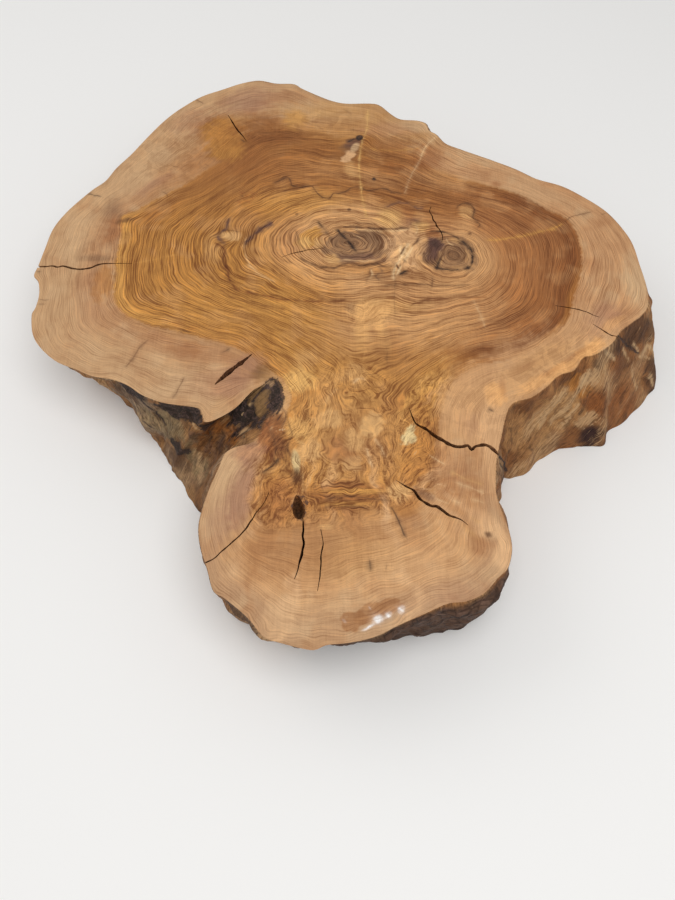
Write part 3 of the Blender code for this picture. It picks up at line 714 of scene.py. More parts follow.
# Patches of tone: the tone, then an oval given the same way.
patches = [
    # the eye of the left pith
    ("ash", 20, 630, 38, 22, 0.75, 0, 0.2), ("smoke", 30, 643, 22, 9, 0.35, 8, 0.7),
    ("plum", 22, 612, 26, 5, 0.7, 0, 0.7), ("smoke", 0, 640, 11, 13, 0.35),
    ("gold", -29, 640, 11, 15, 1.0, -28, 0.15), ("honey", -35, 630, 6, 8, 0.6, 0, 0.4),
    ("paleGold", -34, 634, 7, 9, 0.8, 0, 0.4), ("straw", -20, 633, 5, 7, 0.8, 0, 0.3),
    ("straw", -6, 611, 9, 6, 0.85, -15, 0.25),
    # the eye of the right pith
    ("ash", 112, 622, 24, 26, 0.6, 0, 0.25), ("rust", 96, 646, 8, 7, 0.7, 0, 0.4),
    ("umber", 94, 615, 8, 11, 0.7, 0, 0.5), ("rust", 114, 641, 8, 6, 0.3, 0, 0.5),
    ("plum", 98, 631, 8, 9, 1.0, 0, 0.3), ("soot", 98, 631, 5, 6, 0.6, 0, 0.5),
    ("plum", 78, 661, 7, 5, 0.8, 25, 0.5), ("smoke", 117, 620, 12, 14, 0.5, 0, 0.5),
    ("plum", 92, 620, 7, 12, 0.8, 10, 0.4), ("rust", 104, 656, 16, 8, 0.35, -20, 0.5),
    ("straw", 118, 637, 6, 3, 0.5, -30, 0.5),
    # between the eyes
    ("lobePale", 68, 628, 18, 34, 0.6, 0, 0.3), ("paleGold", 67, 622, 7, 12, 0.3, -20, 0.5),
    ("paleGold", 52, 666, 13, 12, 0.55, 0, 0.5), ("rust", 71, 669, 9, 13, 0.5, 0, 0.5),
    ("paleGold", 84, 655, 8, 7, 0.5, 20, 0.5), ("smoke", 42, 592, 16, 9, 0.3),
    ("heartBrown", 90, 590, 40, 9, 0.35), ("heart", 24, 599, 42, 8, 0.5),
    # left knot and the light wood round it
    ("straw", -107, 642, 11, 6.5, 1.0, 0, 0.25), ("sapPink", -94, 660, 16, 14, 0.25, 30),
    ("straw", -124, 622, 8, 18, 0.4, 12), ("heartGold", -125, 700, 44, 30, 0.45, 35, 0.7),
    ("heartRed", -50, 636, 15, 26, 0.35),
    # right knot
    ("straw", 132, 676, 6.5, 9, 0.6, 0, 0.3), ("heartLight", 131, 661, 9, 7, 0.5),
    # gold under the wavy line and in the crotch
    ("gold", -36, 693, 42, 16, 0.65), ("paleGold", 38, 546, 21, 15, 0.7, -15),
    ("paleGold", 66, 552, 22, 5, 0.6, 8, 0.5), ("paleGold", 23, 522, 7, 18, 0.5, 0, 0.5),
    ("paleGold", 44, 516, 6, 18, 0.5, 8, 0.5), ("smoke", 15, 550, 6, 7, 0.6, 0, 0.5),
    ("gold", 62, 548, 16, 7, 0.4, 20), ("heartLight", 108, 540, 50, 32, 0.6, 0, 0.7),
    ("amber", 104, 484, 26, 14, 0.45, 12, 0.7), ("heartLight", 40, 520, 50, 30, 0.5, 0, 0.8),
    ("crotch", 34, 545, 18, 11, 0.95, 10), ("crotch", 23, 526, 6, 12, 0.6, 0, 0.4),
    ("crotch", 40, 526, 5, 13, 0.6, 0, 0.5), ("crotch", 52, 552, 14, 6, 0.7, 15),
    ("heartBrown", 178, 545, 40, 14, 0.45, 40, 0.8), ("rust", -128, 788, 20, 34, 0.6, 20, 0.5),
    ("heartGold", -112, 806, 22, 18, 0.5, 30, 0.5),
    # far side
    ("heartLight", 108, 722, 34, 12, 0.4, -22, 0.8), ("straw", 0, 836, 50, 8, 0.4, 0, 0.8),
    ("heart", -80, 745, 100, 60, 0.5, 10, 0.8), ("heartBrown", -90, 745, 62, 34, 0.5, 15, 0.8),
    ("heartBrown", -104, 762, 20, 30, 0.45, 10), ("gold", 30, 800, 90, 34, 0.3, 0, 0.8),
    ("rosy", -98, 846, 30, 18, 0.7, 25, 0.7), ("rosy", -163, 812, 24, 16, 0.35, 45, 0.7),
    ("rust", -149, 806, 17, 18, 0.35, 30), ("heartGold", -124, 785, 22, 32, 0.85, 18, 0.3),
    ("amber", -122, 792, 16, 24, 0.5, 18, 0.5), ("heartBrown", -86, 806, 28, 15, 0.7, 10, 0.5),
    ("heartDark", -64, 786, 42, 11, 0.65, 4), ("gold", -47, 816, 12, 14, 0.6, 0, 0.5),
    ("straw", -20, 824, 16, 6, 0.5), ("heartBrown", 58, 776, 30, 14, 0.6, -8),
    ("rust", 98, 756, 15, 19, 0.6, -15, 0.55), ("heartBrown", -20, 770, 24, 12, 0.5, 0, 0.7),
    ("amber", 30, 778, 8, 12, 0.5), ("smoke", 14, 765, 9, 17, 0.5, -20, 0.4),
    ("lobePale", 11, 757, 6.6, 9, 1.0, -12, 0.2), ("plum", 18, 776, 7, 10, 0.75, -30, 0.4),
    ("sapPale", 19, 771, 4, 7.5, 0.85, -25, 0.25), ("soot", 24, 786, 4, 4.6, 0.95, -35, 0.3),
    ("soot", 15, 782, 6, 1.6, 0.7, 35, 0.4), ("straw", 15, 735, 6, 13, 0.6),
    ("rust", 167, 716, 5, 4, 0.6), ("sapPink", 60, 800, 30, 10, 0.5),
    ("sapPale", 208, 704, 34, 13, 0.4, -36), ("sapPale", 292, 580, 12, 28, 1.0),
    ("sapPale", 92, 802, 22, 9, 0.8, -20), ("sapPale", 152, 754, 32, 8, 0.5, -25),
    ("sapPale", -190, 761, 15, 13, 0.6, 40), ("sapPale", -225, 742, 12, 24, 0.4, -35),
    ("heartRed", -58, 850, 26, 12, 0.4),
    # left side
    ("amber", -229, 582, 9, 24, 0.75, 0, 0.4), ("sapPink", -240, 560, 14, 40, 0.25),
    ("ash", -231, 678, 8, 17, 0.5, 20, 0.7), ("rust", -228, 645, 8, 22, 0.6, 0, 0.5),
    ("smoke", -242, 613, 18, 4, 0.45, 0, 0.5), ("sapPale", -262, 640, 12, 44, 0.5, -8, 0.5),
    ("sapPale", -215, 715, 30, 16, 0.5, 40, 0.5), ("rosy", -192, 716, 22, 6, 0.4, 45),
    ("umber", -217, 664, 9, 3, 0.7, 20, 0.5), ("amber", -150, 531, 7, 4, 0.6, 0, 0.5),
    ("amber", -137, 525, 5, 4, 0.6, 0, 0.5), ("rust", -136, 502, 13, 9, 0.5),
    ("sapPale", -130, 458, 22, 14, 0.5, -20), ("sapPale", -165, 451, 30, 9, 0.6, 15),
    ("sapPink", -100, 464, 24, 20, 0.4, 30), ("rosy", -84, 480, 20, 13, 0.8, 35, 0.45),
    ("rosy", -94, 460, 15, 10, 0.55, 25, 0.5), ("umber", -72, 476, 9, 5, 0.5, 40),
    ("sapPink", -120, 462, 24, 16, 0.3), ("umber", -66, 474, 8, 8, 0.5),
    # throat between the two halves
    ("paleGold", -36, 466, 14, 15, 0.85, 10, 0.4), ("straw", -30, 491, 13, 10, 0.6, 0, 0.5),
    ("charcoal", -56, 447, 6, 19, 0.95, 0, 0.25), ("charcoal", -62, 463, 8, 5, 0.9, 40, 0.3),
    ("plum", -66, 419, 7, 12, 0.8, 10, 0.4), ("plum", -80, 397, 12, 4, 0.6, 15, 0.5),
    ("umber", -52, 424, 5, 8, 0.55), ("gold", -50, 500, 9, 30, 0.4, 10),
    ("heartGold", 30, 446, 18, 10, 0.6), ("gold", 10, 478, 70, 30, 0.4, 0, 0.8),
    ("gold", -110, 545, 60, 30, 0.3, 0, 0.8), ("heartLight", 40, 540, 50, 30, 0.4, 0, 0.8),
    ("heartBrown", 52, 498, 16, 22, 0.4), ("straw", 17, 472, 12, 11, 0.5),
    ("gold", 83, 452, 15, 32, 0.8, -32, 0.5), ("amber", 76, 438, 8, 20, 0.5, -28, 0.5),
    ("lobePale", 128, 436, 32, 36, 0.55), ("lobe", 122, 456, 34, 24, 0.6, 20),
    ("sapPink", 122, 420, 14, 14, 0.3, 0, 0.7), ("sapWarm", 180, 480, 50, 30, 0.85, 35),
    ("glue", 190, 490, 34, 7, 0.4, 32), ("straw", 192, 480, 66, 24, 0.4, 32),
    ("lobePale", 240, 520, 26, 20, 0.3, 35), ("rosy", 254, 537, 20, 13, 0.6, 55, 0.7),
    ("honey", 182, 463, 20, 7, 0.6, 30, 0.35), ("honey", 209, 480, 17, 7, 0.8, 30, 0.3),
    ("lobe", 158, 468, 12, 8, 0.5, 20, 0.3), ("honey", 143, 450, 9, 13, 0.7, 0, 0.3),
    ("honey", 262, 530, 14, 5, 0.4, 45, 0.4), ("honey", 233, 499, 19, 7, 0.95, 38, 0.3),
    ("rust", 172, 480, 13, 3, 0.25, 30), ("rust", 196, 476, 12, 2.6, 0.4, 32),
    ("rust", 150, 458, 3, 10, 0.35), ("rust", 220, 494, 14, 2.6, 0.4, 35),
    ("smoke", 228, 484, 9, 5, 0.3, 25),
    # burr of the front lobe, round the hole of the knot
    ("charcoal", -33, 337, 7, 13.5, 0.7, 8, 0.12), ("greyCream", -33, 337, 4.2, 10, 0.75, 8, 0.3),
    ("gold", 0, 395, 74, 46, 0.3, 0, 0.4), ("straw", 6, 412, 46, 44, 0.25, 0, 0.5),
    ("amber", -52, 340, 24, 28, 0.4, 0, 0.5), ("amber", 70, 388, 13, 34, 0.55, -14, 0.5),
    ("amber", -38, 396, 12, 28, 0.4, 6, 0.5), ("straw", 12, 379, 9, 7, 0.9, 0, 0.2),
    ("heartRed", -1, 392, 12, 11, 0.5, 0, 0.4), ("heartRed", 20, 400, 26, 28, 0.35),
    ("straw", -7, 424, 15, 10, 0.8, 20, 0.3), ("straw", 14, 404, 8, 9, 0.7, 0, 0.4),
    ("straw", 29, 421, 11, 14, 0.9, -10, 0.25), ("flaxen", 63, 407, 4.5, 11, 1.0, -32, 0.12),
    ("straw", -25, 392, 11, 11, 0.75, 0, 0.3), ("paleGold", -33, 415, 12, 12, 0.6, 0, 0.4),
    ("flaxen", -36, 381, 3.6, 12, 0.9, 8, 0.25), ("heartBrown", 8, 348, 34, 13, 0.8, 0, 0.4),
    ("gold", 14, 352, 26, 3, 0.7, 0, 0.5), ("gold", 6, 340, 22, 2.4, 0.6, 0, 0.5),
    ("heartBrown", -30, 420, 12, 14, 0.3), ("rust", -58, 408, 13, 24, 0.85, 10, 0.4),
    ("rust", -50, 346, 13, 20, 0.45, 0, 0.5), ("umber", -50, 402, 8, 28, 0.5, 12),
    ("umber", -36, 366, 5, 7, 0.7, 0, 0.5), ("straw", 52, 350, 9, 8, 0.9, 0, 0.35),
    ("amber", 55, 336, 12, 8, 0.6), ("heartRed", 100, 372, 20, 24, 0.35),
    ("lobePale", 136, 392, 10, 42, 1.0), ("plum", 74, 349, 10, 4, 0.5, -30, 0.5),
    ("sapPale", -97, 350, 19, 52, 0.85, 0, 0.5), ("rosy", -98, 322, 10, 26, 0.45, -8),
    ("rosy", -82, 346, 9, 34, 0.75, -8, 0.5), ("rosy", -76, 388, 14, 10, 0.6, 0, 0.5),
    ("straw", 18, 289, 40, 16, 0.6, 0, 0.7), ("rosy", 88, 258, 26, 12, 0.35, 15, 0.7),
    ("heart", -8, 306, 66, 24, 0.4, 0, 0.8), ("glue", -38, 296, 42, 22, 0.65, 0, 0.8),
    ("heartRed", 108, 350, 24, 36, 0.35), ("lobePale", 60, 280, 40, 24, 0.5, 0, 0.8),
    ("sapPale", 10, 235, 90, 24, 0.4, 0, 0.8), ("rust", 118, 302, 9, 7, 0.35),
    ("straw", -10, 319, 6, 2.5, 0.6, 0, 0.5),
    # the trace of a torn-off label
    ("glue", 12, 236, 11, 8, 0.85, 24, 0.12), ("glue", 26, 243, 13, 7, 0.75, 24, 0.12),
    ("glue", 41, 249, 12, 6.5, 0.8, 24, 0.12), ("lobePale", 29, 238, 5, 2, 0.7, 24, 0.3),
    # borer holes and specks
    ("soot", 39, 723, 2.6, 2.6, 0.9, 0, 0.4), ("umber", 12, 679, 2, 2, 0.8, 0, 0.4),
    ("umber", -42, 673, 1.8, 1.8, 0.6, 0, 0.4), ("umber", -100, 699, 1.8, 1.8, 0.6, 0, 0.4),
    ("umber", 134, 646, 2, 2, 0.7, 0, 0.4), ("umber", 125, 312, 3, 2.4, 0.8, 0, 0.4),
    ("umber", 152, 426, 2, 2, 0.5, 0, 0.4),
]

# Thin marks: tone, half width, strength and course.
strokes = [("speck", 1.4, 2.0, [(x, y), (x + 1.8, y - 0.8)]) for x, y in [
    (-101, 703), (-96, 699), (-92, 704), (-98, 694), (-90, 697), (-86, 701), (-103, 690), (-93, 690)]]
strokes += [
    # left eye
    ("umber", 1.8, 0.9, [(5, 655), (20, 654), (35, 653), (55, 652), (74, 654)]),
    ("cream", 0.9, 0.7, [(15, 651.5), (30, 650.5), (52, 649), (72, 651)]),
    ("umber", 1.2, 0.6, [(15, 660), (28, 660), (40, 658)]),
    ("soot", 2.0, 1.0, [(-1, 652), (3, 646), (7, 640), (11, 635), (15, 628), (19, 621)]),
    ("soot", 1.6, 0.75, [(-20, 664), (-16, 656), (-12, 650), (-8, 640)]),
    ("umber", 1.8, 0.85, [(-38, 615), (-30, 608), (-20, 603), (-8, 601), (0, 602), (10, 606), (25, 604),
        (40, 606), (45, 602), (55, 603)]),
    ("cream", 0.9, 0.4, [(0, 609), (10, 611), (25, 609), (38, 611)]),
    ("umber", 1.0, 0.6, [(-44, 652), (-40, 642), (-38, 632), (-30, 622)]),
    ("umber", 1.2, 0.6, [(35, 600), (32, 597), (33, 592), (30, 588), (28, 579)]),
    ("smoke", 1.6, 0.7, [(40, 602), (44, 596), (38, 590), (42, 584)]),
    # right eye
    ("soot", 1.3, 0.9, [(94, 649), (100, 649), (106, 648.5), (112, 646), (118.5, 642), (124, 637)]),
    ("soot", 2.0, 1.0, [(124, 637), (129, 631.5), (132, 627), (134, 622), (134.5, 616), (134, 610),
        (131, 604)]),
    ("soot", 2.6, 1.0, [(131, 604), (128, 600), (124, 598)]),
    ("straw", 0.9, 0.6, [(128, 625), (130, 617), (129, 609)]),
    ("straw", 0.9, 0.5, [(124, 602), (117, 600.5), (111, 601)]),
    ("soot", 1.5, 0.95, [(94, 602), (100, 600), (106, 598.5), (114, 597.5), (122, 597.5)]),
    ("umber", 1.4, 0.7, [(86, 622), (87, 612), (91, 606), (96, 603)]),
    ("umber", 1.0, 0.7, [(122, 634), (127, 625), (127, 615), (122, 608)]),
    ("umber", 0.9, 0.6, [(108, 616), (112, 622), (118, 622), (121, 616), (117, 611), (111, 611)]),
    ("soot", 1.6, 0.9, [(103, 613), (100, 607), (99, 602), (97, 597)]),
    ("straw", 0.7, 0.6, [(106, 614), (103, 608), (102, 602)]),
    ("cream", 0.9, 0.6, [(109, 641), (112, 633), (118, 628)]),
    ("umber", 1.1, 0.7, [(93, 590), (92, 574)]),
    # between the eyes
    ("plum", 2.0, 0.75, [(50, 682), (56, 686), (62, 688), (70, 688), (76, 685), (82, 681), (90, 681)]),
    ("cream", 1.5, 1.2, [(55, 585), (55.4, 594.6), (58.5, 604), (63, 613), (67.7, 624), (72, 633)]),
    ("cream", 1.5, 1.2, [(67, 610), (70.8, 617.7), (75.4, 628.5)]),
    ("cream", 1.2, 1.1, [(57, 590), (60, 596), (63, 604)]),
    ("cream", 0.8, 0.7, [(79, 644), (81, 651), (79, 657)]),
    ("cream", 0.8, 0.7, [(31, 585), (34, 592), (33, 599)]),
    ("soot", 1.4, 0.9, [(65.5, 611), (66.5, 609)]),
    ("umber", 1.4, 1.2, [(58, 606), (59, 602), (61, 598)]),
    ("umber", 1.3, 0.7, [(61.5, 590), (66, 592), (71, 594)]),
    ("umber", 1.3, 1.1, [(62, 617), (65, 623), (68, 629)]), ("cream", 1.6, 1.2, [(62, 620), (64, 630)]),
    ("soot", 1.5, 1.1, [(60, 590), (64, 594), (70, 597)]), ("soot", 1.1, 0.8, [(66, 611), (69, 607)]),
    ("umber", 1.2, 0.7, [(61, 600), (63, 607)]), ("umber", 1.2, 0.9, [(74, 628), (79, 634), (83, 642)]),
    ("straw", 1.0, 0.6, [(80, 622), (84, 632)]),
    # dark ring lines
    ("umber", 1.2, 0.6, [(45, 578), (75, 580), (100, 578), (130, 579)]),
    ("heartDark", 1.4, 0.8, [(70, 552), (75, 556), (82, 558), (90, 561), (105, 562), (120, 563),
        (145, 563)]),
    ("heartDark", 1.6, 0.9, [(-75, 567), (-60, 562), (-45, 560), (-30, 558), (-15, 558), (0, 558),
        (8, 560)]),
    ("heartDark", 1.1, 0.6, [(-115, 573), (-108, 568), (-100, 562), (-90, 558), (-70, 553), (-50, 548)]),
    ("heartDark", 1.7, 0.95, [(-124, 634), (-116, 628), (-113, 622), (-114, 612), (-112, 604),
        (-108, 597), (-107, 588), (-103, 580), (-98, 573), (-90, 570), (-75, 567)]),
    ("umber", 1.3, 0.6, [(-150, 523), (-145, 522), (-138, 520)]),
    ("cream", 1.0, 0.45, [(-92, 640), (-93, 625), (-90, 612), (-84, 600), (-74, 590), (-60, 582)]),
    ("umber", 1.0, 0.45, [(-60, 640), (-62, 625), (-55, 612), (-45, 605)]),
    # left knot
    ("plum", 2.1, 1.0, [(-112, 632), (-118, 636), (-121, 641), (-119, 646), (-114, 652), (-112, 660),
        (-111, 668)]),
    ("plum", 2.8, 1.5, [(-95, 632), (-90, 636), (-87, 642), (-82, 647), (-78, 652), (-72, 657),
        (-66, 662)]),
    ("umber", 1.0, 0.6, [(-117, 650), (-108, 650), (-99, 648)]),
    # the wavy line
    ("umber", 1.1, 0.9, [(-70, 716), (-64, 719), (-58, 723), (-53, 726), (-50, 722), (-48, 714),
        (-40, 711), (-28, 713), (-24, 708), (-20, 701), (-15, 696), (-9, 695), (-4, 702), (2, 702),
        (8, 705), (14, 710), (20, 711), (26, 709), (32, 706), (45, 709), (52, 708), (58, 704),
        (68, 701)]),
    ("smoke", 1.0, 0.5, [(-58, 705), (-48, 707), (-38, 707)]),
    # right knot
    ("umber", 1.4, 0.8, [(122, 680), (126, 685), (131, 688), (137, 686), (141, 680), (139, 668),
        (143, 662), (145, 658), (142, 652)]),
    # rays
    ("paleGold", 1.1, 0.7, [(34, 832), (32, 800), (27, 780), (24, 760), (23, 740), (24, 720), (26, 695),
        (30, 668)]),
    ("cream", 0.8, 0.8, [(108, 788), (98, 776), (92, 764), (88, 750)]),
    ("sapPale", 0.9, 0.6, [(88, 750), (80, 733), (74, 716), (70, 700)]),
    ("gold", 1.5, 0.75, [(150, 637), (160, 637), (175, 640), (190, 643), (205, 648), (220, 653),
        (230, 660)]),
    ("gold", 1.2, 0.5, [(-203, 606), (-190, 609), (-175, 614), (-160, 618)]),
    ("cream", 1.3, 0.4, [(131, 560), (134, 550), (137, 540), (140, 525)]),
    ("umber", 0.9, 0.35, [(56, 600), (56, 580), (55, 560), (55, 540)]),
    ("gold", 1.2, 0.45, [(30, 770), (60, 766), (90, 770)]),
    # small cracks
    ("soot", 1.0, 0.8, [(-297, 596), (-291, 596)]), ("umber", 0.9, 0.6, [(-289, 560), (-278, 560)]),
    ("umber", 0.9, 0.6, [(-289, 555), (-281, 555)]),
    ("soot", 1.1, 0.8, [(-262, 702), (-252, 699), (-245, 697)]),
    ("umber", 1.0, 0.7, [(-160, 849), (-150, 841)]),
    ("umber", 1.0, 0.6, [(-184, 705), (-178, 700), (-177, 696)]),
    ("umber", 1.0, 0.6, [(-178, 743), (-169, 740)]), ("umber", 1.0, 0.5, [(-142, 746), (-137, 742)]),
    ("umber", 0.9, 0.6, [(-178, 512), (-184, 505), (-187, 498), (-190, 490), (-196, 480)]),
    ("umber", 0.9, 0.6, [(-140, 470), (-143, 461), (-147, 450), (-149, 444)]),
    ("soot", 1.0, 0.7, [(-108, 497), (-103, 500), (-100, 503)]),
    ("soot", 1.3, 0.85, [(-65, 370), (-57, 376), (-50, 385)]),
    ("soot", 1.0, 0.8, [(26, 290), (27, 279)]), ("soot", 0.9, 0.7, [(40, 285), (39, 280)]),
    ("umber", 0.9, 0.6, [(3, 319), (5, 315)]),
    ("soot", 1.0, 0.8, [(45, 338), (50, 327), (54, 315), (58, 307)]),
    ("soot", 1.3, 0.9, [(134, 436), (140, 432)]),
    ("umber", 1.0, 0.7, [(232, 661), (240, 669), (256, 674), (262, 676)]),
    ("umber", 0.9, 0.5, [(270, 671), (277, 675)]), ("soot", 1.1, 0.7, [(16, 799), (19, 799)]),
    ("umber", 0.9, 0.4, [(5, 832), (12, 828), (15, 822)]), ("umber", 1.0, 0.4, [(46, 505), (46, 485)]),
    ("soot", 1.4, 0.8, [(-106, 784), (-100, 779)]),
    # flecks of white paper on the trace of the label
    ("chalk", 0.9, 0.9, [(19, 229.5), (22, 231), (25, 232.5), (29, 235)]),
    ("chalk", 2.9, 1.6, [(29, 236.5), (31.5, 238), (34.5, 239)]),
    ("chalk", 1.5, 1.6, [(33, 241), (34, 238)]), ("chalk", 2.1, 1.6, [(38, 241), (41, 243.5)]),
    ("chalk", 2.6, 1.8, [(49.5, 245.5), (51, 248)]), ("chalk", 0.8, 0.8, [(25, 249), (26, 247)]),
    ("chalk", 0.7, 0.8, [(4, 239), (7, 236.5)]),
    # edges of the bark in the notch
    ("soot", 1.6, 0.9, [(-62, 468), (-56, 462), (-52, 452), (-52, 441), (-58, 431), (-64, 424)]),
    ("umber", 1.2, 0.7, [(-70, 410), (-64, 416), (-60, 424), (-62, 432)]),
    ("cream", 0.9, 0.7, [(-66, 424), (-63, 428)]), ("cream", 0.8, 0.6, [(-60, 412), (-58, 417)]),
    # splinters and light flecks of the burr
    ("cream", 1.0, 0.7, [(84, 345), (88, 343), (94, 340)]), ("cream", 0.9, 0.6, [(96, 344), (105, 341)]),
    ("cream", 1.0, 0.6, [(80, 388), (86, 383), (93, 378)]),
    ("cream", 1.0, 0.5, [(100, 361), (112, 356), (125, 350)]),
    ("straw", 1.0, 0.5, [(110, 328), (120, 322)]), ("cream", 0.8, 0.5, [(112, 345), (124, 341)]),
    ("straw", 1.2, 0.5, [(96, 372), (110, 364), (124, 358)]),
    ("straw", 1.2, 0.4, [(92, 330), (106, 318), (118, 306)]),
    ("straw", 1.2, 0.6, [(-30, 400), (-30, 380), (-29, 350)]),
    ("cream", 1.2, 0.75, [(33, 405), (37, 396), (42, 385)]),
    ("cream", 1.1, 0.6, [(25, 395), (28, 384), (30, 375)]),
    ("straw", 1.3, 0.7, [(-12, 440), (-6, 450), (0, 457)]),
    ("cream", 1.3, 0.6, [(14, 462), (20, 468), (26, 466)]),
    ("umber", 1.2, 0.6, [(-10, 345), (10, 347), (28, 345), (45, 343)]),
    ("umber", 1.1, 0.5, [(-12, 337), (8, 338), (28, 336)]),
    ("umber", 1.2, 0.6, [(-66, 425), (-56, 405), (-54, 390), (-58, 375)]),
    ("umber", 1.1, 0.6, [(-45, 425), (-40, 408), (-44, 395), (-38, 385)]),
    ("smoke", 1.1, 0.6, [(-52, 440), (-46, 428), (-50, 415)]),
]


# Tones that the materials lay in with a ragged edge of their own, over a weaker stain of the tone.
inlays = {"dark": ("charcoal", "soot"), "pale": ("cream", "greyCream"), "stain": 0.6, "most": 0.74}

# How the sawn faces are painted. Waves are how long, how strong and their place in the noise.
brush = {
    "burrBends": [(24.0, 7.0, 51.0), (8.0, 2.5, 55.0)], "quiltBends": [(20.0, 6.0, 151.0)],
    "patchBends": [(20.0, 3.5, 73.0), (6.0, 1.2, 79.0)],
    "turnWaves": (50.0, 12.0, 67.0),            # in degrees, for the bands
    "bandEnd": 14.0,                            # degrees over which a band starts and stops
    "farFrom": (25, 55), "farTo": (138, 112),   # the far side, in degrees
    "heartEdge": 0.7, "farEdge": 3.0, "lobeEdge": 3.6,      # half width of the heartwood's edge in rings
    "lobeEdgeFrom": (395, 345),
    "fringeWaves": (14.0, 0.9, 61.0), "farWaves": (30.0, 3.0, 63.0), "farShift": 2.5,
    "clouds": [(24.0, 1.0, 83.0), (9.0, 0.5, 89.0)],
    "rays": [(5.0, 0.8, 131.0, 1.0), (1.8, 1.2, 137.0, 0.5)],      # across, along, place, strength
    "rayFrom": (420, 340),                      # rays are in the front lobe only
    # washes of tone by that noise: how strong, and the noise where they start and are full
    "washes": {"sapPale": (0.5, 0.0, 0.6), "rust": (0.28, 0.0, 0.7), "heartLight": (0.3, 0.0, 0.6),
               "rayPale": (0.65, 0.05, 0.5), "rayDark": (0.6, 0.05, 0.5)},
    "streaks": [(2.4, 30.0), (0.9, 16.0)],      # in rings and millimetres
    "streakShare": 0.3, "grain": (5.0, 0.25, 97.0),
    "sharpBelow": 4.5,                          # smaller patches keep their plain edges
    "smallBelow": 15.0,                         # and these are not on the underside
    "swell": (6.0, 0.6, 101.0), "breaks": (8.0, 1.0, 107.0), "breakEdge": (-0.55, 0.05),
    "core": 1.25, "coreFirm": 1.7, "halo": 3.4, "haloShare": 0.3,
    "markStep": 1.5, "markStray": (5, 0.7, 113.0),      # these last three lines are of the thin marks
}


def mostOf(spots, ovals):
    # the strongest of the ovals at each spot
    share = np.zeros(len(spots))
    for one in ovals:
        share = np.maximum(share, oval(spots, *one))
    return share


def burrShare(spots):
    bent = bend(spots, *brush["burrBends"])
    share = mostOf(bent, burrs)
    for one in quietWood:
        share = share * (1 - oval(bent, *one))
    return share


# The fibres of the burr: how many make a turn round the throat, and how they stray. On the right
# they lean the other way, round a place in the lobe.
burrFan = {
    "middle": (6, 482), "perTurn": 250.0, "throat": 20.0,
    "strays": [(24.0, 2.4, 121.0), (9.0, 0.9, 127.0)],
    "rightMiddle": (-5, 300), "rightPerTurn": 300.0, "rightFrom": (47, 53), "rightAbove": (348, 356),
    "rightWander": (16, 9, 157.0),
    "awayUnit": 100.0, "acrossUnit": 300.0,     # millimetres to one unit of the noise
}


def fanSpace(spots):
    # how many fibres round the throat each spot is, and how far from it
    dx, dy = (spots - burrFan["middle"]).T
    fibres = np.arctan2(dx, burrFan["throat"] - dy) / math.tau * burrFan["perTurn"]
    away = np.hypot(dx, dy)
    dx, dy = (spots - burrFan["rightMiddle"]).T
    wander = waves(spots, burrFan["rightWander"])
    onRight = smooth(*burrFan["rightFrom"], spots[:, 0] + wander)
    onRight *= smooth(*burrFan["rightAbove"], spots[:, 1] + wander)
    fibres += onRight * (np.arctan2(dx, dy) / math.tau * burrFan["rightPerTurn"] - fibres)
    away += onRight * (np.hypot(dx, dy) - away)
    fibres += waves(spots, *burrFan["strays"])
    return np.column_stack([fibres, away / burrFan["awayUnit"], spots[:, 0] / burrFan["acrossUnit"]])


def strokeLine(course):
    line = catmull(course, False, brush["markStep"])
    return line + sideways(line) * waves(line, brush["markStray"])[:, None]


def strokeRowsOf():
    # rows of points along every thin mark, so that the mesh can hold it sharply
    rows = []
    for tone, half, strength, course in strokes:
        line = strokeLine(course)
        right = sideways(line) * half
        rows += [line, line + right, line - right]
    return rows


def strokeShare(spots, half, strength, course):
    # a thin mark: uneven, broken here and there, with a faint halo
    line = strokeLine(course)
    near = nearLine(spots, line, 4 * half)
    at = spots[near]
    gap, where = toLine(at, line)
    swell = 1 + waves(at, brush["swell"])
    broken = smooth(*brush["breakEdge"], waves(at, brush["breaks"]))
    ends = np.minimum(1, np.minimum(where, len(line) - 1 - where) / 3 + 0.2)
    core = np.clip(brush["coreFirm"] * (1 - gap / (brush["core"] * half * swell)), 0, 1)
    halo = brush["haloShare"] * np.clip(1 - gap / (brush["halo"] * half), 0, 1) ** 2
    share = np.zeros(len(spots))
    share[near] = np.minimum(1, strength * ends * np.maximum(core * (0.5 + 0.5 * broken), halo))
    return share


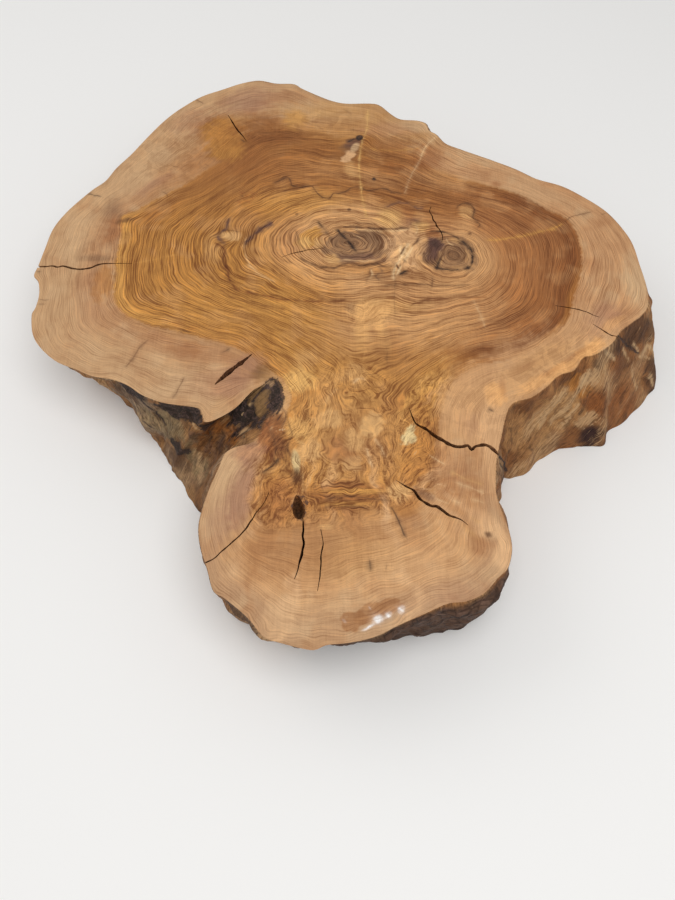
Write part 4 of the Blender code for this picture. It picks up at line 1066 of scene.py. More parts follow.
def topTone(spots, ring, plainRing, onTop):
    # the tone of the sawn faces at each spot, in linear colour, and how much dark bark and pale flame
    # it has, for which the material draws the ragged edges; the underside has no small marks
    paint = np.tile(toRgb(tones["heart"]), (len(spots), 1))
    dark, pale = np.zeros(len(spots)), np.zeros(len(spots))
    dx, dy = (spots - figure["middle"]).T
    turn = np.degrees(np.arctan2(dy, dx)) + waves(spots, brush["turnWaves"])
    farSide = smooth(*brush["farFrom"], turn) * smooth(*brush["farTo"], turn)
    half = brush["heartEdge"] + brush["farEdge"] * farSide
    half += brush["lobeEdge"] * smooth(*brush["lobeEdgeFrom"], spots[:, 1])
    fringe = plainRing - figure["heartRings"] - brush["farShift"] * farSide
    fringe += waves(spots, brush["fringeWaves"]) + farSide * waves(spots, brush["farWaves"])
    sap = smooth(0, 1, (fringe + half) / (2 * half))

    def lay(name, share):
        nonlocal paint
        paint = paint + (toRgb(tones[name]) - paint) * share[:, None]

    lay("sapwood", sap)
    shifted = (ring + plainRing) / 2
    end = brush["bandEnd"]
    for name, low, high, start, stop, soft, strength in bands:
        at = (turn - start) % 360
        at = np.where(at > 300, at - 360, at)
        whole = stop - start
        facing = 1.0 if whole >= 360 else smooth(-end, end, at) * smooth(-end, end, whole - at)
        across = smooth(low - soft, low + soft, shifted) * smooth(high + soft, high - soft, shifted)
        own = sap if low >= figure["heartRings"] else 1 - sap
        lay(name, strength * facing * across * own)
    cloud = waves(spots, *brush["clouds"])
    fibres, away = fanSpace(spots)[:, :2].T
    ray = sum(strong * noiseAt(fibres / wide, long * away, seat)
              for wide, long, seat, strong in brush["rays"])
    inLobe = smooth(*brush["rayFrom"], spots[:, 1])
    for name, where, value in (("sapPale", sap, cloud), ("rust", sap, -cloud),
                               ("heartLight", 1 - sap, cloud), ("rayPale", inLobe, ray),
                               ("rayDark", inLobe, -ray)):
        strength, low, high = brush["washes"][name]
        lay(name, strength * where * smooth(low, high, value))

    bent = bend(spots, *brush["patchBends"])
    streak = sum(noiseAt(ring / rings, spots[:, 0] / long, spots[:, 1] / long)
                 for rings, long in brush["streaks"])
    ragged = brush["streakShare"] * streak + waves(spots, brush["grain"])
    for name, *one in patches:
        size = min(one[2:4])
        at, rough = (spots, 0) if size < brush["sharpBelow"] else (bent, ragged)
        share = oval(at, *one, ragged=rough)
        if size < brush["smallBelow"]:
            share = share * onTop
        if name in inlays["dark"]:
            dark = np.maximum(dark, share)
        if name in inlays["pale"]:
            pale = np.maximum(pale, share)
        lay(name, share * (inlays["stain"] if name in inlays["dark"] + inlays["pale"] else 1))
    for name, *mark in strokes:
        lay(name, strokeShare(spots, *mark) * onTop)
    return paint, dark * inlays["most"], pale


sideTones = {
    "weathered": "8f6239", "greyTan": "a0876b", "warmTan": "b08150", "darkBrown": "563a27",
    "nearBlack": "2d2520", "barkBrown": "503a2f", "barkRidge": "75594a", "orangeBrown": "9a602c",
    "paleTan": "c6a276", "deepBrown": "6e4526", "richBrown": "875027", "olive": "8a7452",
    "oliveGrey": "857460", "cream": "d0b48c", "purpleBlack": "3a231e", "amber": "a86a28",
}

# Patches on the side: tone, place as plan X, Y and depth, reach along the side and down it, strength.
sidePatches = [
    # right wall, from the neck out to the far corner
    ("weathered", 155, 430, 15, 18, 30, 0.6), ("deepBrown", 170, 443, 7, 11, 7, 0.85),
    ("weathered", 185, 446, 18, 13, 14, 0.5), ("warmTan", 205, 455, 30, 26, 22, 0.8),
    ("deepBrown", 214, 472, 5, 12, 5, 0.85), ("amber", 220, 471, 12, 11, 9, 0.85),
    ("paleTan", 238, 477, 14, 9, 8, 0.7), ("richBrown", 243, 467, 37, 12, 10, 0.8),
    ("warmTan", 225, 452, 48, 20, 14, 0.6), ("warmTan", 185, 434, 50, 24, 26, 0.5),
    ("richBrown", 278, 487, 60, 26, 22, 0.75), ("darkBrown", 258, 500, 6, 20, 8, 0.7),
    ("darkBrown", 283, 526, 8, 26, 13, 0.85), ("darkBrown", 301, 537, 20, 12, 12, 0.7),
    ("darkBrown", 320, 524, 68, 16, 24, 0.8), ("richBrown", 262, 492, 28, 16, 16, 0.7),
    ("darkBrown", 274, 505, 26, 12, 10, 0.5), ("amber", 233, 473, 27, 9, 6, 0.8),
    ("richBrown", 252, 469, 45, 15, 15, 0.85), ("paleTan", 238, 459, 58, 14, 9, 0.6),
    ("richBrown", 292, 492, 73, 20, 16, 0.7), ("warmTan", 195, 440, 64, 16, 14, 0.6),
    ("warmTan", 166, 432, 34, 14, 22, 0.55), ("darkBrown", 145, 388, 25, 9, 40, 0.75),
    ("darkBrown", 158, 404, 62, 12, 26, 0.8),
    # left foot of the front lobe
    ("darkBrown", -99, 262, 8, 14, 12, 1.0), ("darkBrown", -86, 249, 9, 16, 13, 1.0),
    ("darkBrown", -72, 238, 10, 14, 12, 0.9), ("olive", -60, 228, 18, 10, 9, 0.6),
    # left wall under the tongue
    ("oliveGrey", -188, 452, 30, 40, 34, 0.75), ("olive", -160, 440, 34, 26, 18, 0.7),
    ("nearBlack", -200, 468, 5, 16, 7, 0.95), ("nearBlack", -184, 458, 4, 16, 6, 0.9),
    ("darkBrown", -190, 456, 15, 7, 6, 0.8), ("nearBlack", -150, 440, 8, 18, 12, 1.0),
    ("nearBlack", -134, 434, 8, 13, 10, 1.0), ("nearBlack", -148, 428, 52, 11, 9, 0.9),
    ("darkBrown", -150, 422, 70, 16, 14, 0.75), ("darkBrown", -205, 470, 30, 14, 10, 0.5),
    ("weathered", -128, 424, 18, 12, 8, 0.7), ("darkBrown", -124, 421, 29, 14, 6, 0.85),
    # recess and the broken ledge of the lobe
    ("darkBrown", -104, 430, 20, 14, 8, 0.6), ("orangeBrown", -112, 427, 21, 10, 6, 0.7),
    # painted shade: the first near-black patch on the next line is the dark hole under the tongue's tip;
    # the second is bark
    ("nearBlack", -106, 434, 12, 16, 5, 0.85), ("nearBlack", -86, 436, 12, 13, 9, 1.0),
    ("nearBlack", -66, 444, 4, 20, 9, 0.95), ("nearBlack", -72, 426, 7, 12, 6, 0.85),
    ("orangeBrown", -98, 414, 22, 13, 10, 0.9), ("warmTan", -90, 406, 10, 9, 6, 0.7),
    ("olive", -135, 409, 58, 10, 16, 0.8), ("weathered", -118, 395, 35, 12, 24, 0.7),
    ("orangeBrown", -113, 385, 22, 9, 18, 0.6), ("olive", -120, 350, 40, 14, 40, 0.5),
]

# The dark stub of a branch low on the right wall: place, reach along and down it, and strength.
knotStub = (249, 453, 77, 15, 15, 1.0)

# Thin marks on the side, given the same way: tone, half width, strength and course.
sideStrokes = [
    ("paleTan", 3.2, 0.75, [(214, 463, 12), (206, 457, 22), (197, 448, 33), (192, 443, 42)]),
    ("paleTan", 3.4, 0.8, [(232, 474, 17), (224, 466, 25), (216, 455, 35), (208, 447, 46)]),
    ("paleTan", 2.6, 0.7, [(228, 460, 35), (222, 454, 44), (216, 448, 54)]),
    ("paleTan", 2.4, 0.6, [(203, 455, 14), (196, 450, 24), (188, 443, 34)]),
    ("cream", 1.8, 0.6, [(236, 478, 12), (230, 472, 19), (226, 468, 24)]),
    ("cream", 2.0, 0.6, [(250, 502, 5), (257, 500, 8), (263, 498, 12)]),
    ("paleTan", 1.8, 0.7, [(272, 512, 14), (280, 508, 20), (288, 504, 24)]),
    ("cream", 1.4, 0.7, [(286, 520, 18), (292, 518, 24), (297, 512, 30)]),
    ("cream", 1.8, 0.8, [(296, 519, 35), (302, 527, 35), (306, 532, 37), (312, 533, 42), (317, 532, 52)]),
    ("paleTan", 1.8, 0.6, [(308, 525, 47), (302, 522, 41), (296, 519, 35)]),
    ("paleTan", 2.0, 0.6, [(290, 505, 40), (296, 500, 52), (302, 500, 66)]),
    ("cream", 1.8, 0.7, [(313, 518, 66), (318, 519, 74), (323, 517, 84)]),
    # painted shade: the near-black gaps of the neck crack and of the crack at the right edge, where they
    # run down the side
    ("nearBlack", 1.6, 1.0, [(139, 389, 1), (144, 394, 14), (150, 399, 30), (157, 407, 54),
        (163, 414, 77)]),
    ("nearBlack", 1.2, 0.9, [(141, 384, 8), (149, 389, 30), (156, 398, 56), (160, 404, 76)]),
    ("nearBlack", 1.2, 0.9, [(265, 517, 1), (270, 517, 8), (276, 517, 14), (284, 518, 23),
        (292, 519, 31)]),
    ("paleTan", 2.0, 0.5, [(250, 490, 14), (256, 486, 24), (262, 480, 36)]),
    ("darkBrown", 1.6, 0.7, [(228, 469, 22), (222, 460, 30), (217, 452, 40)]),
    ("darkBrown", 1.4, 0.7, [(240, 470, 28), (236, 462, 38), (232, 455, 48)]),
    ("darkBrown", 1.4, 0.7, [(162, 426, 24), (163, 423, 32), (165, 421, 40)]),
    ("darkBrown", 1.2, 0.6, [(158, 430, 14), (159, 427, 22)]),
    ("darkBrown", 1.4, 0.6, [(182, 430, 58), (188, 428, 66), (194, 428, 72)]),
    ("nearBlack", 1.2, 0.7, [(276, 524, 12), (282, 519, 18), (290, 517, 24)]),
    ("nearBlack", 1.2, 0.6, [(262, 506, 6), (268, 502, 14)]),
    ("warmTan", 3.0, 0.9, [(-133, 431, 13), (-127, 427, 14), (-122, 425, 15)]),
    ("cream", 1.2, 0.6, [(-130, 429, 14), (-125, 426, 15)]),
    ("nearBlack", 1.6, 0.8, [(-178, 452, 8), (-170, 446, 16), (-166, 442, 26), (-162, 438, 36)]),
    ("nearBlack", 1.4, 0.7, [(-190, 452, 24), (-184, 446, 36), (-178, 442, 48)]),
    ("darkBrown", 1.4, 0.7, [(-172, 444, 20), (-166, 438, 34), (-160, 434, 46)]),
    # painted shadow: a near-black line under the edge of the tongue
    ("nearBlack", 1.8, 0.9, [(-120, 428, 8), (-110, 431, 10), (-100, 437, 9), (-92, 443, 7)]),
    ("chunk", 6.5, 0.95, [(-70, 437, 5), (-69, 446, 4), (-71, 454, 4)]),
    ("chunk", 3.0, 0.8, [(-80, 446, 8), (-78, 452, 6), (-74, 457, 4)]),
    ("nearBlack", 1.6, 0.9, [(-76, 434, 8), (-77, 444, 7), (-75, 450, 6), (-68, 458, 3)]),
    ("cream", 1.1, 0.9, [(-90, 423, 17), (-86, 420, 16), (-82, 419, 14)]),
    ("cream", 1.2, 0.9, [(-86, 426, 17), (-81, 423, 14), (-77, 420, 11)]),
    ("cream", 1.0, 0.8, [(-84, 415, 14), (-79, 415, 11), (-76, 416, 9)]),
    ("cream", 0.9, 0.8, [(-88, 440, 12), (-86, 436, 13)]),
    ("cream", 0.9, 0.7, [(-83, 446, 8), (-80, 444, 8)]),
    ("nearBlack", 1.4, 0.85, [(-100, 424, 25), (-92, 420, 21), (-86, 416, 18), (-80, 410, 12)]),
    ("cream", 1.0, 0.6, [(-100, 410, 24), (-96, 406, 18), (-92, 403, 12)]),
    ("cream", 1.0, 0.5, [(-106, 412, 32), (-102, 408, 26)]),
    ("darkBrown", 1.2, 0.7, [(-119, 380, 35), (-120, 372, 42), (-121, 366, 50)]),
    ("paleTan", 3.0, 0.6, [(-133, 414, 50), (-134, 406, 60), (-135, 398, 70)]),
    # fissures of the bark under the front lobe
    ("nearBlack", 1.1, 0.8, [(30, 222, 12), (50, 229, 18), (75, 238, 22), (95, 243, 18)]),
    ("nearBlack", 1.0, 0.8, [(55, 232, 10), (80, 243, 14), (100, 247, 12), (118, 252, 18)]),
    ("nearBlack", 1.0, 0.7, [(70, 240, 30), (90, 245, 32), (108, 248, 26)]),
    ("barkRidge", 1.6, 0.7, [(40, 226, 14), (62, 234, 16), (86, 242, 18)]),
    ("barkRidge", 1.6, 0.7, [(80, 244, 24), (98, 247, 24), (114, 252, 22)]),
]


# How the side is painted.
weathering = {
    # mottling: strength, how wide, how tall, place in the noise, and the noise where it starts and
    # is full
    "greyTan": (1.0, 34, 60, 5.0, -0.1, 0.4), "deepBrown": (0.5, 26, 30, 17.0, 0.0, 0.4),
    "warmTan": (0.5, 18, 40, 29.0, 0.05, 0.45), "paleTan": (0.45, 30, 34, 37.0, 0.0, 0.45),
    "darkBrown": (0.45, 6, 20, 47.0, 0.15, 0.5), "barkRidge": (0.6, 9, 5, 53.0, 0.05, 0.35),
    "nearBlack": (0.55, 8, 4, 59.0, 0.0, 0.3),
    "grey": 0.55, "greyLess": 0.45, "rich": 0.45,       # and the last two on the warmer wall
    "mottleLean": 0.35,         # how far the mottling leans for each millimetre down
    "warmFrom": (60, 150),      # the right wall is warmer, from here on
    "raggedWide": (10, 12, 0.0, 0.45), "raggedFine": (4, 5, 3.0, 0.3),  # along, down, place, strength
    "onSurface": 0.85,          # how much of a distance straight out of the side is left out
    "patchEdge": (0.75, 1.15), "stubEdge": (0.45, 1.25), "stubRagged": 0.6,
    "swell": (5, 6, 0.0, 0.6), "markStep": 2.0, "mark": 1.5, "markFirm": 1.7,
    "barkShare": 0.9, "barkDepth": (1, 8), "recessBark": 0.6,
}


def sideTone(spots, depths, facing, bark, crackShade):
    # the tone of the side, and how dark and pale it is; a crack that runs down it is dark too, with
    # painted shade in its gap
    paint = np.tile(toRgb(sideTones["weathered"]), (len(spots), 1))
    dark, pale = np.zeros(len(spots)), np.zeros(len(spots))
    place = np.column_stack([spots, depths])

    def apartFrom(spot):
        # from there along the surface, whatever its unevenness puts between the two
        apart = place - spot
        return apart - weathering["onSurface"] * (apart * facing).sum(1, keepdims=True) * facing

    def lay(name, share):
        nonlocal paint, dark, pale
        share = np.clip(share, 0, 1)
        if name in ("paleTan", "cream", "chunk"):
            dark = dark * (1 - share)
        if name == "nearBlack":
            dark = np.maximum(dark, share)
            share = share * inlays["stain"]
        if name in ("paleTan", "cream"):
            pale = np.maximum(pale, share)
            share = share * inlays["stain"]
        code = sideTones.get(name) or tones[name]
        paint = paint + (toRgb(code) - paint) * share[:, None]

    def mottle(name):
        # streaks that lean a little as they run down
        strength, wide, tall, seat, low, high = weathering[name]
        leaning = spots + weathering["mottleLean"] * depths[:, None]
        streaks = noiseAt(leaning[:, 0] / wide, leaning[:, 1] / wide + seat, depths / tall)
        return strength * smooth(low, high, streaks)

    def roughen(name):
        along, down, seat, strong = weathering[name]
        return strong * noiseAt(spots[:, 0] / along, spots[:, 1] / along, depths / down + seat)

    warmWall = smooth(*weathering["warmFrom"], spots[:, 0])
    lay("greyTan", (weathering["grey"] - weathering["greyLess"] * warmWall) * mottle("greyTan"))
    lay("richBrown", weathering["rich"] * warmWall)
    lay("deepBrown", mottle("deepBrown"))
    lay("warmTan", mottle("warmTan"))
    wander = roughen("raggedWide") + roughen("raggedFine")
    for name, *spot, along, down, strength in sidePatches:
        reach = np.linalg.norm(apartFrom(spot) / (along, along, down), axis=1)
        lay(name, strength * (1 - smooth(*weathering["patchEdge"], reach + wander)))
    lay("paleTan", mottle("paleTan") * (1 - inRecess(spots)))
    lay("darkBrown", mottle("darkBrown"))
    lay("barkBrown", weathering["barkShare"] * hasBark(spots) * smooth(*side["barkTop"], depths))
    lay("barkRidge", bark * mottle("barkRidge"))
    lay("nearBlack", bark * mottle("nearBlack"))
    swell = 1 + roughen("swell")
    for name, half, strength, course in sideStrokes:
        gap = np.full(len(spots), 1e9)
        for spot in catmull(course, False, weathering["markStep"]):
            gap = np.minimum(gap, np.linalg.norm(apartFrom(spot), axis=1))
        core = 1 - gap / (weathering["mark"] * half * swell)
        lay(name, strength * np.clip(weathering["markFirm"] * core, 0, 1))
    *spot, along, down, strength = knotStub
    reach = np.linalg.norm(apartFrom(spot) / (along, along, down), axis=1)
    reach += weathering["stubRagged"] * wander
    lay("purpleBlack", strength * (1 - smooth(*weathering["stubEdge"], reach)))
    # painted shade: the gap of a crack that runs down the side is laid in dark
    dark = np.maximum(dark * inlays["most"], crackShade)
    return paint, dark, pale * (1 - hasBark(spots))


# How the fibres of the side lean for each millimetre down: on the right wall towards the neck, on
# the left the other way; and how much longer than wide they are.
fibreLean = {"rightLean": 1.05, "rightFrom": (110, 170), "leftLean": 0.35, "leftFrom": (-120, -180),
             "drawnOut": 0.22}


def fibreSpace(arcs, depths, spots):
    # in millimetres on a round drum as long as the rim, turned with depth so that one run of noise
    # follows the fibres
    lean = fibreLean["rightLean"] * smooth(*fibreLean["rightFrom"], spots[:, 0])
    lean -= fibreLean["leftLean"] * smooth(*fibreLean["leftFrom"], spots[:, 0])
    drum = arcs.max() / math.tau
    turn = (arcs + lean * depths) / drum
    return np.column_stack([drum * np.cos(turn), drum * np.sin(turn), fibreLean["drawnOut"] * depths])


# What the nodes of the materials do: the kind of each, the inputs that its values go to, in order,
# and its settings.
nodeKinds = {
    "places": ("TexCoord", (), {}), "field": ("Attribute", (), {}),
    "noise": ("TexNoise", ("Vector", "Scale", "Detail", "Roughness", "Distortion"), {}),
    "cells": ("TexVoronoi", ("Vector", "Scale"), {"feature": "DISTANCE_TO_EDGE"}),
    "stretch": ("Mapping", ("Vector", "Rotation", "Scale"), {}),
    "split": ("SeparateXYZ", ("Vector",), {}),
    "join": ("CombineXYZ", ("X",), {}),
    "times": ("VectorMath", (0, 1), {"operation": "MULTIPLY"}),
    "shift": ("VectorMath", (0, 1), {"operation": "ADD"}),
    "range": ("MapRange", ("Value", "From Min", "From Max", "To Min", "To Max"), {}),
    "fade": ("MapRange", ("Value", "From Min", "From Max", "To Min", "To Max"),
             {"interpolation_type": "SMOOTHSTEP"}),
    "mix": ("Mix", (0, 6, 7), {"data_type": "RGBA"}),
    "bump": ("Bump", ("Height", "Strength", "Distance"), {}),
}
for does, operation in {"add": "ADD", "less": "SUBTRACT", "multiply": "MULTIPLY", "least": "MINIMUM",
                        "multiplyAdd": "MULTIPLY_ADD", "fraction": "FRACT"}.items():
    nodeKinds[does] = ("Math", (0, 1, 2), {"operation": operation})
noTurn = (0, 0, 0)


def setInputs(node, inputs):
    # an input is given a plain value, or a node or socket to link
    for name, value in inputs.items():
        if isinstance(value, bpy.types.Node):
            value = next(out for out in value.outputs if out.enabled)
        if isinstance(value, bpy.types.NodeSocket):
            node.id_data.links.new(value, node.inputs[name])
        else:
            node.inputs[name].default_value = value


def addNode(tree, does, *values, **extra):
    # one node with its settings and links
    kind, names, settings = nodeKinds[does]
    node = tree.nodes.new("ShaderNode" + kind)
    for name, value in {**settings, **extra}.items():
        setattr(node, name, value)
    setInputs(node, dict(zip(names, values)))
    return node


def newFinish(name, look, *fields):
    # a material: how it adds a node, its shader, the place in metres, and the fields of the mesh
    # that it is drawn from
    finish = bpy.data.materials.new(name)
    finish.use_nodes = True
    tree = finish.node_tree
    shader = tree.nodes["Principled BSDF"]
    setInputs(shader, {"Roughness": look["roughness"], "IOR": look["ior"], "Metallic": 0.0,
                       "Specular IOR Level": 0.25})
    node = partial(addNode, tree)
    place = node("places").outputs["Object"]
    drawn = [node("field", attribute_name=field).outputs[outputOf[meshFields[field]]]
             for field in ("tone", *fields)]
    return finish, shader, node, place, *drawn


def pattern(node, space, size, *form):
    # noise of a real size, with its detail, roughness and distortion, less a half
    return node("less", node("noise", space, 1 / size, *form), 0.5)


def inlaid(node, colour, tone, field, noise, ragged, low, high, share):
    # a tone laid in where a painted field is high, with a crisp edge made ragged by noise
    there = node("fade", node("multiplyAdd", noise, ragged, field), low, high)
    return node("mix", node("multiply", there, share), colour, tone)


def sandedEndGrain():
    # Olive end grain, sanded to a fine grit and left unvarnished. Each ring ends in a thin dark line
    # of late wood, over wide soft bands of darker and lighter years, with a faint satin sheen.
    look = {
        "roughness": 0.55, "glossier": 0.06, "duller": 0.08, "ior": 1.5,
        # sizes in metres, then detail, roughness and distortion
        "wander": (1 / 48, 2.0, 0.45), "swirl": (0.011, 1.5, 0.5, 0.8), "quilt": (0.019, 4.0, 0.62, 1.6),
        "crumb": (0.0034, 3.0, 0.62, 1.2),
        # pores and scratches are finer in real wood, and would not show
        "pores": (0.0011, 1.0), "scratches": (0.0016, 2.0),
        # years that differ: how many changes for each line drawn and for 100 mm along it, detail,
        # roughness, and strength
        "years": [(0.17, 0.9, 1.5, 0.5, 1.9), (0.55, 1.8, 2.0, 0.5, 2.1), (1.7, 2.6, 2.0, 0.6, 3.1),
                  (3.4, 6.0, 1.0, 0.5, 3.9)],
        "ringLines": 1.1, "lineStart": (0.5, 0.85), "lineEnd": (1.0, 0.93),
        "lineGaps": (0.5, 1.6, 3.0, 0.5), "gapEdge": (-0.14, 0.12),
        # fibres of the burr: across and along them, detail, roughness and distortion
        "fibre": (0.6, 4.2, 3.0, 0.6, 0.4), "broad": (0.22, 2.6, 2.0, 0.5, 0.5),
        "fine": (1.9, 12.0, 3.0, 0.65, 0.5), "curlGaps": (0.15, 2.5, 1.0, 0.5, 0.0),
        "fibreShare": 4.6, "broadShare": 2.8, "fineShare": 5.2, "curlShare": 0.55, "burrLight": 0.12,
        "curls": 11.0, "curlStart": (0.5, 0.88), "curlEnd": (1.0, 0.92),
        "curlEdge": (-0.05, 0.12), "ringsInBurr": 0.7,      # by how much the burr hides the rings
        "quiltEdge": (-0.05, 0.06, -0.4, 0.4), "poreEdge": (-0.14, -0.20), "poreShare": 0.25,
        "poreDepth": 0.5, "scratchTurn": 1.25, "scratchLong": 0.06, "scratchShare": 0.4,
        "flameGrain": 0.35, "plainest": 1.1,
        "darker": (0.47, 0.35, 0.26), "lighter": (1.55, 1.47, 1.3), "lighterBurr": (1.5, 1.5, 1.45),
        # flames and bark in the wood: colour, how ragged, from and to, and strength
        "pale": "cbb28a", "paleForm": (0.9, 0.42, 0.62, 0.65),
        "dark": "271f1b", "plum": "5d4034", "darkForm": (1.5, 0.4, 0.52, 0.85),
        "bump": 0.12, "bumpHeight": 0.0003,
    }
    finish, shader, node, place, tone, rings, burr, show, fan, quilt, pale, dark = newFinish(
        "sandedOliveEndGrain", look, "ringSpace", "burr", "show", "fanSpace", "quilt", "pale", "dark")

    def grain(space, across, along, *form):
        # the same noise, drawn out along the rings or fibres
        return pattern(node, node("times", space, (across, along, along)), 1.0, *form)

    def lines(count, start, end):
        # a dark line near the end of each whole number
        phase = node("fraction", count)
        return node("multiply", node("fade", phase, *start), node("fade", phase, *end))

    plainly = node("least", node("multiply", show, 1.3), look["plainest"])
    wander = node("multiply", pattern(node, place, *look["wander"]), plainly)
    rings = node("shift", rings, node("join", wander))
    line = lines(node("split", rings), look["lineStart"], look["lineEnd"])
    line = node("multiply", line, node("fade", grain(rings, *look["lineGaps"]), *look["gapEdge"]))
    signal = 0.0
    for *form, strength in look["years"]:      # each lays its noise over those before
        signal = node("multiplyAdd", grain(rings, *form), strength, signal)
    signal = node("multiplyAdd", line, -look["ringLines"], signal)
    signal = node("multiply", signal, show)

    # burr: curled grain whose fibres fan out from the throat and glint where they dip
    swirl = pattern(node, place, *look["swirl"])
    swirl = node("multiplyAdd", swirl, look["curls"], look["curls"] / 2)
    curl = lines(swirl, look["curlStart"], look["curlEnd"])
    curl = node("multiply", curl, node("fade", grain(fan, *look["curlGaps"]), *look["curlEdge"]))
    curled = look["burrLight"]
    for name in ("broad", "fibre"):
        curled = node("multiplyAdd", grain(fan, *look[name]), look[name + "Share"], curled)
    curled = node("multiplyAdd", curl, -look["curlShare"], curled)
    curled = node("multiplyAdd", grain(fan, *look["fine"]), look["fineShare"], curled)
    plainShare = node("less", 1.0, node("multiply", burr, look["ringsInBurr"]))
    signal = node("multiplyAdd", signal, plainShare, node("multiply", curled, burr))

    # quilting: clouds with ragged edges
    cloud = pattern(node, place, *look["quilt"])
    quilted = node("add", node("fade", cloud, *look["quiltEdge"]), cloud)
    signal = node("multiplyAdd", quilted, quilt, signal)

    pores = node("fade", pattern(node, place, *look["pores"]), *look["poreEdge"])
    drawnOut = node("stretch", place, (0, 0, look["scratchTurn"]), (1.0, look["scratchLong"], 1.0))
    scratches = pattern(node, drawnOut, *look["scratches"])
    signal = node("multiplyAdd", scratches, look["scratchShare"], signal)

    darker = node("times", tone, look["darker"])
    lighter = node("mix", burr, node("times", tone, look["lighter"]),
                   node("times", tone, look["lighterBurr"]))
    colour = node("mix", node("multiply", signal, -1.0), tone, darker)
    colour = node("mix", signal, colour, lighter)
    colour = node("mix", node("multiply", pores, look["poreShare"]), colour, darker)

    # bark and pale flames that grew into the wood, with ragged edges
    crumb = pattern(node, place, *look["crumb"])
    flame = node("multiplyAdd", signal, look["flameGrain"], crumb)
    paleTone = node("mix", node("multiply", flame, -2.0), toColour(look["pale"]), tone)
    colour = inlaid(node, colour, paleTone, pale, flame, *look["paleForm"])
    darkInlayTone = node("multiplyAdd", crumb, 6.0, 0.2)
    darkInlayTone = node("mix", darkInlayTone, toColour(look["dark"]), toColour(look["plum"]))
    colour = inlaid(node, colour, darkInlayTone, dark, crumb, *look["darkForm"])

    sheen = node("fade", signal, -0.5, 0.5, look["roughness"] + look["duller"],
                 look["roughness"] - look["glossier"])
    height = node("multiplyAdd", pores, -look["poreDepth"], signal)
    setInputs(shader, {"Base Color": colour, "Roughness": sheen,
                       "Normal": node("bump", height, look["bump"], look["bumpHeight"])})
    return finish


def weatheredSide():
    # The trunk's own surface where the bark has come away, never planed: long fibres, greyed and
    # stained in patches, with pale torn streaks, dull; where bark is left it is near black, scaly and
    # quite rough. Fibres are drawn coarser than the real ones, which are too fine to show.
    look = {
        "roughness": 0.72, "ior": 1.45,
        # size of each pattern (fibres in millimetres on the fibre field, the others in metres),
        # then detail, roughness and distortion
        "fibre": (2.0, 3.0, 0.6, 0.6), "hair": (0.9, 1.0), "flame": (6.25, 2.5, 0.6, 1.4),
        "mottle": (0.010, 4.0, 0.6, 1.0), "crumb": (0.0036, 3.0, 0.65, 0.8),
        "layers": (0.005, 3.0, 0.6, 0.5),
        "fibreShare": 2.8, "hairShare": 2.2, "mottleShare": 1.6, "crumbShare": 1.0,
        "scale": 0.005, "scaleFlat": (0.45, 0.45, 1.3), "layerFlat": (0.25, 0.25, 2.2),
        "scaleGap": 0.16, "gapShare": 0.7, "layerShare": 2.0, "fibresInBark": 0.75,
        "darker": (0.34, 0.29, 0.26), "lighter": (1.55, 1.55, 1.5),
        "pale": "c9a174", "paleForm": (1.7, 0.4, 0.68, 0.6),
        "dark": "271f1b", "plum": "54403a", "darkForm": (1.3, 0.38, 0.52, 0.92),
        "bump": 0.55, "bumpHeight": 0.0011,
    }
    finish, shader, node, place, tone, bark, dark, pale, along = newFinish(
        "weatheredOliveSide", look, "bark", "dark", "pale", "fibreSpace")

    fibre, hair, flame = [pattern(node, along, *look[name]) for name in ("fibre", "hair", "flame")]
    mottle, crumb = [pattern(node, place, *look[name]) for name in ("mottle", "crumb")]
    scales = node("cells", node("stretch", place, noTurn, look["scaleFlat"]), 1 / look["scale"])
    gap = node("multiply", node("range", scales, 0.0, look["scaleGap"], 1.0, 0.0), bark)
    layers = pattern(node, node("stretch", place, noTurn, look["layerFlat"]), *look["layers"])
    gap = node("multiplyAdd", node("multiply", layers, bark), look["layerShare"], gap)
    signal = node("multiply", fibre, look["fibreShare"])
    signal = node("multiplyAdd", hair, look["hairShare"], signal)
    bare = node("less", 1.0, node("multiply", bark, look["fibresInBark"]))
    signal = node("multiply", signal, bare)
    signal = node("multiplyAdd", mottle, look["mottleShare"], signal)
    signal = node("multiplyAdd", crumb, look["crumbShare"], signal)
    signal = node("multiplyAdd", gap, -look["gapShare"], signal)
    darker = node("times", tone, look["darker"])
    colour = node("mix", node("multiply", signal, -1.0), tone, darker)
    colour = node("mix", signal, colour, node("times", tone, look["lighter"]))

    streaks = node("multiplyAdd", fibre, 0.8, flame)
    streakTone = node("mix", node("multiply", signal, -0.6), toColour(look["pale"]), tone)
    colour = inlaid(node, colour, streakTone, pale, streaks, *look["paleForm"])
    # the dark inlay: bark, and painted shade in the cracks that run down the side and under the tongue
    crumbly = node("multiplyAdd", fibre, 0.6, crumb)
    darkInlayTone = node("multiplyAdd", crumb, 6.0, 0.2)
    darkInlayTone = node("mix", darkInlayTone, toColour(look["dark"]), toColour(look["plum"]))
    colour = inlaid(node, colour, darkInlayTone, dark, crumbly, *look["darkForm"])
    setInputs(shader, {"Base Color": colour,
                       "Normal": node("bump", signal, look["bump"], look["bumpHeight"])})
    return finish


